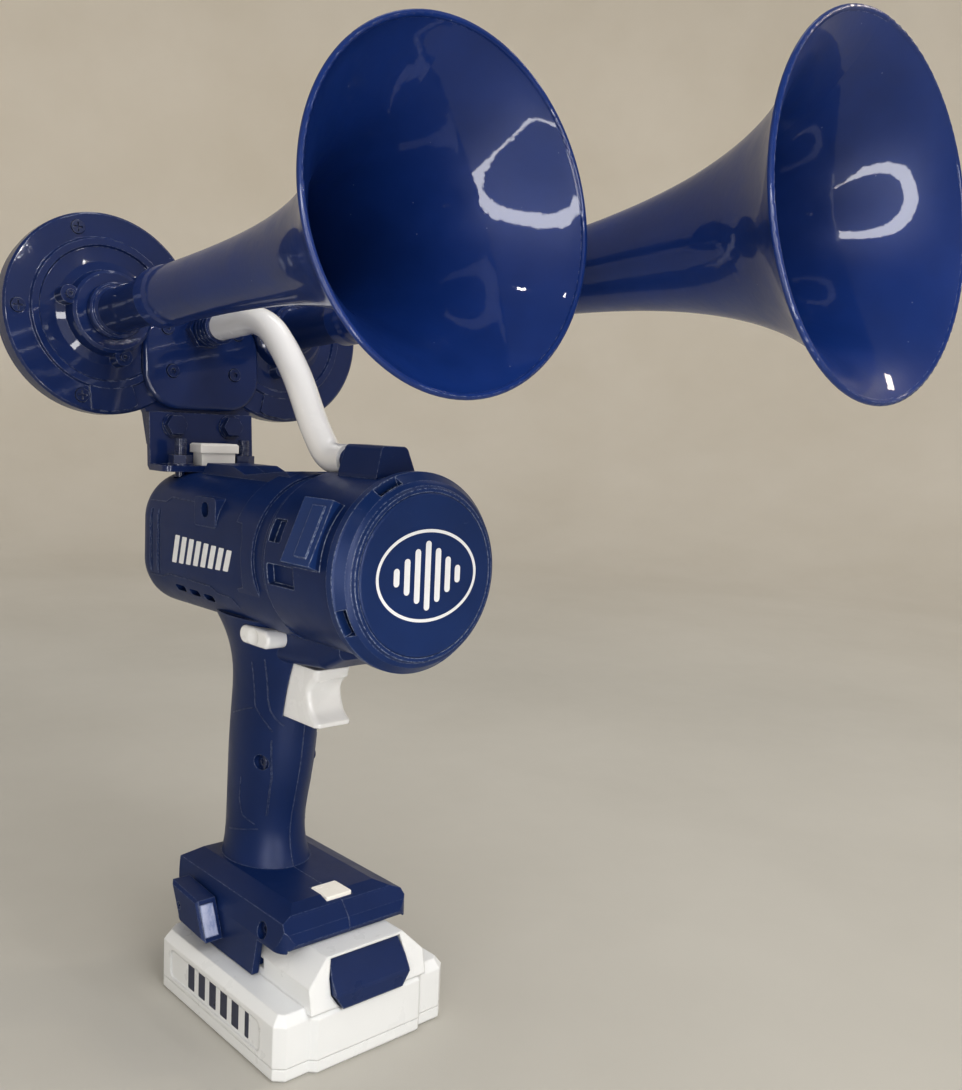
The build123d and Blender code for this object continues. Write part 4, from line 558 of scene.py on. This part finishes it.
# fine moulding lines of the barrel's side panel and of the grip, in mm along X and Z
MOULDING_WIDTH = 0.55
MOULDING_HEIGHT = 0.2
MOULDING_LINES = {
    "barrel_top": [(-96.5, 221.9), (-80.0, 222.3), (-75.9, 224.6), (-52.0, 224.2), (-48.8, 223.9)],
    "barrel_low": [(-94.0, 186.4), (-80.0, 186.8), (-74.0, 188.8), (-34.0, 188.2), (-29.0, 185.8),
                   (-17.0, 185.4), (-13.0, 181.5)],
    "grip_front": [(-17.2, 156.0), (-17.6, 137.2), (-17.2, 135.2), (-11.9, 128.4), (-9.6, 125.0)],
    "grip_back": [(-19.5, 134.6), (-28.0, 131.8), (-37.0, 128.4)],
    "grip_guard": [(-9.1, 158.6), (-10.5, 139.5), (-9.9, 134.8), (-7.9, 131.0), (-5.5, 128.2)],
    "grip_side": [(-10.2, 121.0), (-11.3, 103.8), (-13.7, 92.9), (-15.4, 84.5)],
    "grip_arc": [(-27.5, 100.6), (-28.8, 89.8), (-26.8, 82.7), (-20.2, 79.6)],
    "grip_foot": [(-19.0, 77.6), (-28.0, 75.6), (-37.0, 73.6)],
}
for side, label in SIDES:
    for line, points in MOULDING_LINES.items():
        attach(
            printed_mark("moulding_" + line + "_" + label, line_faces(points, MOULDING_WIDTH), (1, 0, 0),
                         (0, 0, 1), (0, side, 0), (0, 0, 0), housing, finishes["housing_navy"],
                         thick=MOULDING_HEIGHT),
            "tool",
        )

# navy bars on the battery's long sides, the last of them narrower
CASE_BARS = 5
CASE_BAR_X = -22.0
CASE_BAR_Z = 15.2
CASE_BAR_PITCH = 9.6
CASE_BAR_WIDTH = 5.6
CASE_BAR_HEIGHT = 11.4
CASE_END_X = 26.0
CASE_END_WIDTH = 3.0
case = surface_of("battery_upper_case", "battery_lower_case")
for side, label in SIDES:
    bars = [
        rounded_bar(CASE_BAR_X + CASE_BAR_PITCH * k, CASE_BAR_Z, CASE_BAR_WIDTH, CASE_BAR_HEIGHT, corner=0.6)
        for k in range(CASE_BARS)
    ]
    bars.append(rounded_bar(CASE_END_X, CASE_BAR_Z, CASE_END_WIDTH, CASE_BAR_HEIGHT, corner=0.6))
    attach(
        printed_mark("battery_bars_" + label, bars, (1, 0, 0), (0, 0, 1), (0, side, 0), (0, 0, 0),
                     case, ink_navy),
        "battery",
    )


# ---------------------------------------------------------------- springs
COIL_STEPS = 24    # rings of vertices to a turn
WIRE_SIDES = 8


def wound_wire(mesh, start, length, radius, turns, wire):
    """Adds a closed round wire that winds along +X from start."""
    rings = []
    for k in range(COIL_STEPS * turns + 1):
        angle = 2 * math.pi * k / COIL_STEPS
        outward = Vector((0, math.cos(angle), math.sin(angle)))
        along = Vector((length * k / (COIL_STEPS * turns), 0, 0))
        middle = Vector(start) + outward * radius + along
        ring = []
        for j in range(WIRE_SIDES):
            around = 2 * math.pi * j / WIRE_SIDES
            offset = outward * math.cos(around) + Vector((math.sin(around), 0, 0))
            ring.append(mesh.verts.new(middle + offset * wire))
        rings.append(ring)
    for before, after in zip(rings, rings[1:]):
        for j in range(WIRE_SIDES):
            beside = (j + 1) % WIRE_SIDES
            mesh.faces.new((before[j], before[beside], after[beside], after[j]))
    mesh.faces.new(rings[0])
    mesh.faces.new(rings[-1][::-1])


def squashed_springs(name, node, body, middles, turns, wire):
    """Springs in place of a CAD node."""
    low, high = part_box(node)
    radius = (high.z - low.z) / 2 - wire
    length = high.x - low.x - 2 * wire
    height = (low.z + high.z) / 2
    mesh = bmesh.new()
    for y in middles:
        wound_wire(mesh, (low.x + wire, y, height), length, radius, turns, wire)
    bmesh.ops.recalc_face_normals(mesh, faces=mesh.faces)
    piece = new_piece(name, mesh, finishes["spring_steel"])
    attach(piece, body)
    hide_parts(node)
    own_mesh(piece)


# the trigger and release joints travel 6.5 and 3.5 mm
squashed_springs("trigger_coil", "trigger_spring", "tool",
                 middles=(0.0,), turns=5, wire=0.45 * MM)
squashed_springs("release_coils", "release_springs", "battery",
                 middles=(-8 * MM, 8 * MM), turns=3, wire=0.4 * MM)


# ---------------------------------------------------------------- floor
FLOOR_FLAT_RINGS = (0.25, 0.6, 1.5)
COVE_RADIUS = 0.9
COVE_STEPS = 12
WALL_HEIGHT = 1.6
FLOOR_POINTS = 96


def cove(finish):
    """A floor that curves up into a low wall on every side."""
    flat = FLOOR_FLAT_RINGS[-1]
    profile = [(radius, 0.0) for radius in FLOOR_FLAT_RINGS]
    for k in range(1, COVE_STEPS + 1):
        angle = math.radians(90 * k / COVE_STEPS)
        profile.append((flat + COVE_RADIUS * math.sin(angle), COVE_RADIUS * (1 - math.cos(angle))))
    profile.append((flat + COVE_RADIUS, COVE_RADIUS + WALL_HEIGHT))
    mesh = bmesh.new()
    hub = mesh.verts.new((0, 0, 0))
    rings = [circle(mesh, radius, height, FLOOR_POINTS) for radius, height in profile]
    for k in range(FLOOR_POINTS):
        after = (k + 1) % FLOOR_POINTS
        mesh.faces.new((hub, rings[0][k], rings[0][after]))
        for inner, outer in zip(rings, rings[1:]):
            mesh.faces.new((inner[k], outer[k], outer[after], inner[after]))
    for face in mesh.faces:
        face.smooth = True
    return new_piece("floor", mesh, finish)


def floor_finish():
    """Pale paper, greyer under the object and warmer and brighter away from it: painted shade near the object
    and painted light on the far floor and walls.
    """
    s = Shade("finish_floor")
    drift = s.varied(0.35, 0.0, 1.0, detail=4.0)
    reach = s.node("ShaderNodeVectorMath", {0: s.place}, operation="LENGTH").outputs["Value"]
    # near colour is painted shade around the object, far colour is painted light on the far floor and walls
    near = s.mix(drift, (0.46, 0.447, 0.41), (0.51, 0.497, 0.46))
    far = s.mix(drift, (0.76, 0.71, 0.625), (0.82, 0.775, 0.70))
    s.set(
        colour=s.mix(s.spread(reach, 0.7, 2.6, 0.0, 1.0), near, far),
        rough=s.varied(0.02, 0.80, 0.92),
        normal=s.bump(s.noise(0.6 * MM), 0.04 * MM),
    )
    return s.material


floor = cove(floor_finish())


# ---------------------------------------------------------------- light
AIM = (0.0, 0.0, 0.24)
NEAR_WHITE = (1.0, 0.985, 0.965)
RING_PLACE = (0.41, -0.27, 0.19)
RING_POINTS = 48


def facing(place, aim):
    """The turn that points -Z from place to aim."""
    return (Vector(aim) - Vector(place)).to_track_quat("-Z", "Y").to_euler()


def soft_light(name, place, width, height, power, aim=AIM, colour=NEAR_WHITE, shape="RECTANGLE", shines=True):
    """An area light; one that doesn't shine lights surfaces but isn't mirrored in them."""
    data = bpy.data.lights.new(name, "AREA")
    data.shape = shape
    data.size = width
    data.size_y = height
    data.energy = power
    data.color = colour
    lamp = bpy.data.objects.new(name, data)
    bpy.context.scene.collection.objects.link(lamp)
    lamp.location = place
    lamp.rotation_euler = facing(place, aim)
    lamp.visible_camera = False
    lamp.visible_glossy = shines


def ring_light(place, aim, inner, outer, glow):
    """A flat photographic ring light, facing aim, that is only mirrored: light_front gives its light."""
    mesh = bmesh.new()
    near, far = (circle(mesh, radius, 0, RING_POINTS) for radius in (inner, outer))
    for k in range(RING_POINTS):
        after = (k + 1) % RING_POINTS
        mesh.faces.new((near[k], near[after], far[after], far[k]))
    s = Shade("finish_ring_light")
    emission = s.node("ShaderNodeEmission", {"Color": (1.0, 0.985, 0.96, 1.0), "Strength": glow})
    s.tree.links.new(emission.outputs[0], s.out.inputs["Surface"])
    lamp = new_piece("ring_light", mesh, s.material)
    lamp.location = place
    lamp.rotation_euler = facing(place, aim)
    lamp.visible_camera = False
    lamp.visible_diffuse = False


ring_light(RING_PLACE, aim=(0.10, 0.02, 0.27), inner=0.180, outer=0.240, glow=21.0)
soft_light("light_front", RING_PLACE, width=0.42, height=0.42, power=1.15, aim=(0.05, 0.0, 0.25),
           colour=(1.0, 0.985, 0.96), shape="DISK", shines=False)
soft_light("light_key", (1.35, -0.10, 1.30), width=0.7, height=0.7, power=11.5, shines=False)
soft_light("light_fill", (-0.9, -1.5, 0.9), width=1.2, height=0.9, power=3.5, colour=(1.0, 0.98, 0.96),
           shines=False)
soft_light("light_top", (0.4, 0.3, 2.2), width=1.8, height=1.8, power=20.0, shines=False)
soft_light("light_sky", (-0.6, 0.5, 2.3), width=0.9, height=0.35, power=3.0)
soft_light("light_spot_a", (0.57, -1.01, 1.48), width=0.05, height=0.05, power=1.0)
soft_light("light_spot_b", (1.90, 0.60, 0.94), width=0.06, height=0.05, power=1.6)
soft_light("light_spot_c", (1.84, 0.70, 1.08), width=0.06, height=0.05, power=1.6)
soft_light("light_warm", (0.53, 1.16, 1.26), width=0.10, height=0.22, power=2.0, colour=(1.0, 0.86, 0.70))

world = bpy.data.worlds.new("world")
bpy.context.scene.world = world
world.use_nodes = True
background = world.node_tree.nodes["Background"]
background.inputs["Color"].default_value = (0.80, 0.795, 0.78, 1.0)
background.inputs["Strength"].default_value = 0.33


# ---------------------------------------------------------------- camera
# the fitted view: place in mm, azimuth, downward pitch and roll in degrees
CAMERA_PLACE = Vector((396.3, -262.3, 262.8))
AZIMUTH, PITCH, ROLL = (math.radians(a) for a in (47.6, 6.12, -2.53))
FOCAL_SHARE = 1082.5 / 1090.0    # focal length over picture height
SENSOR = 36.0
forward = Vector((-math.sin(AZIMUTH) * math.cos(PITCH), math.cos(AZIMUTH) * math.cos(PITCH), -math.sin(PITCH)))
right = Vector((math.cos(AZIMUTH), math.sin(AZIMUTH), 0.0))
down = forward.cross(right)
turned_right = math.cos(ROLL) * right + math.sin(ROLL) * down
turned_down = -math.sin(ROLL) * right + math.cos(ROLL) * down
turn = Matrix((turned_right, -turned_down, -forward)).transposed().to_4x4()
camera_data = bpy.data.cameras.new("camera")
camera = bpy.data.objects.new("camera", camera_data)
bpy.context.scene.collection.objects.link(camera)
camera.matrix_world = Matrix.Translation(CAMERA_PLACE * MM) @ turn
camera_data.sensor_width = SENSOR
camera_data.lens = SENSOR * FOCAL_SHARE
camera_data.clip_start = 0.01
camera_data.clip_end = 20.0
bpy.context.scene.camera = camera

view = bpy.context.scene.view_settings
view.view_transform = "Standard"
view.look = "None"
view.gamma = 0.92
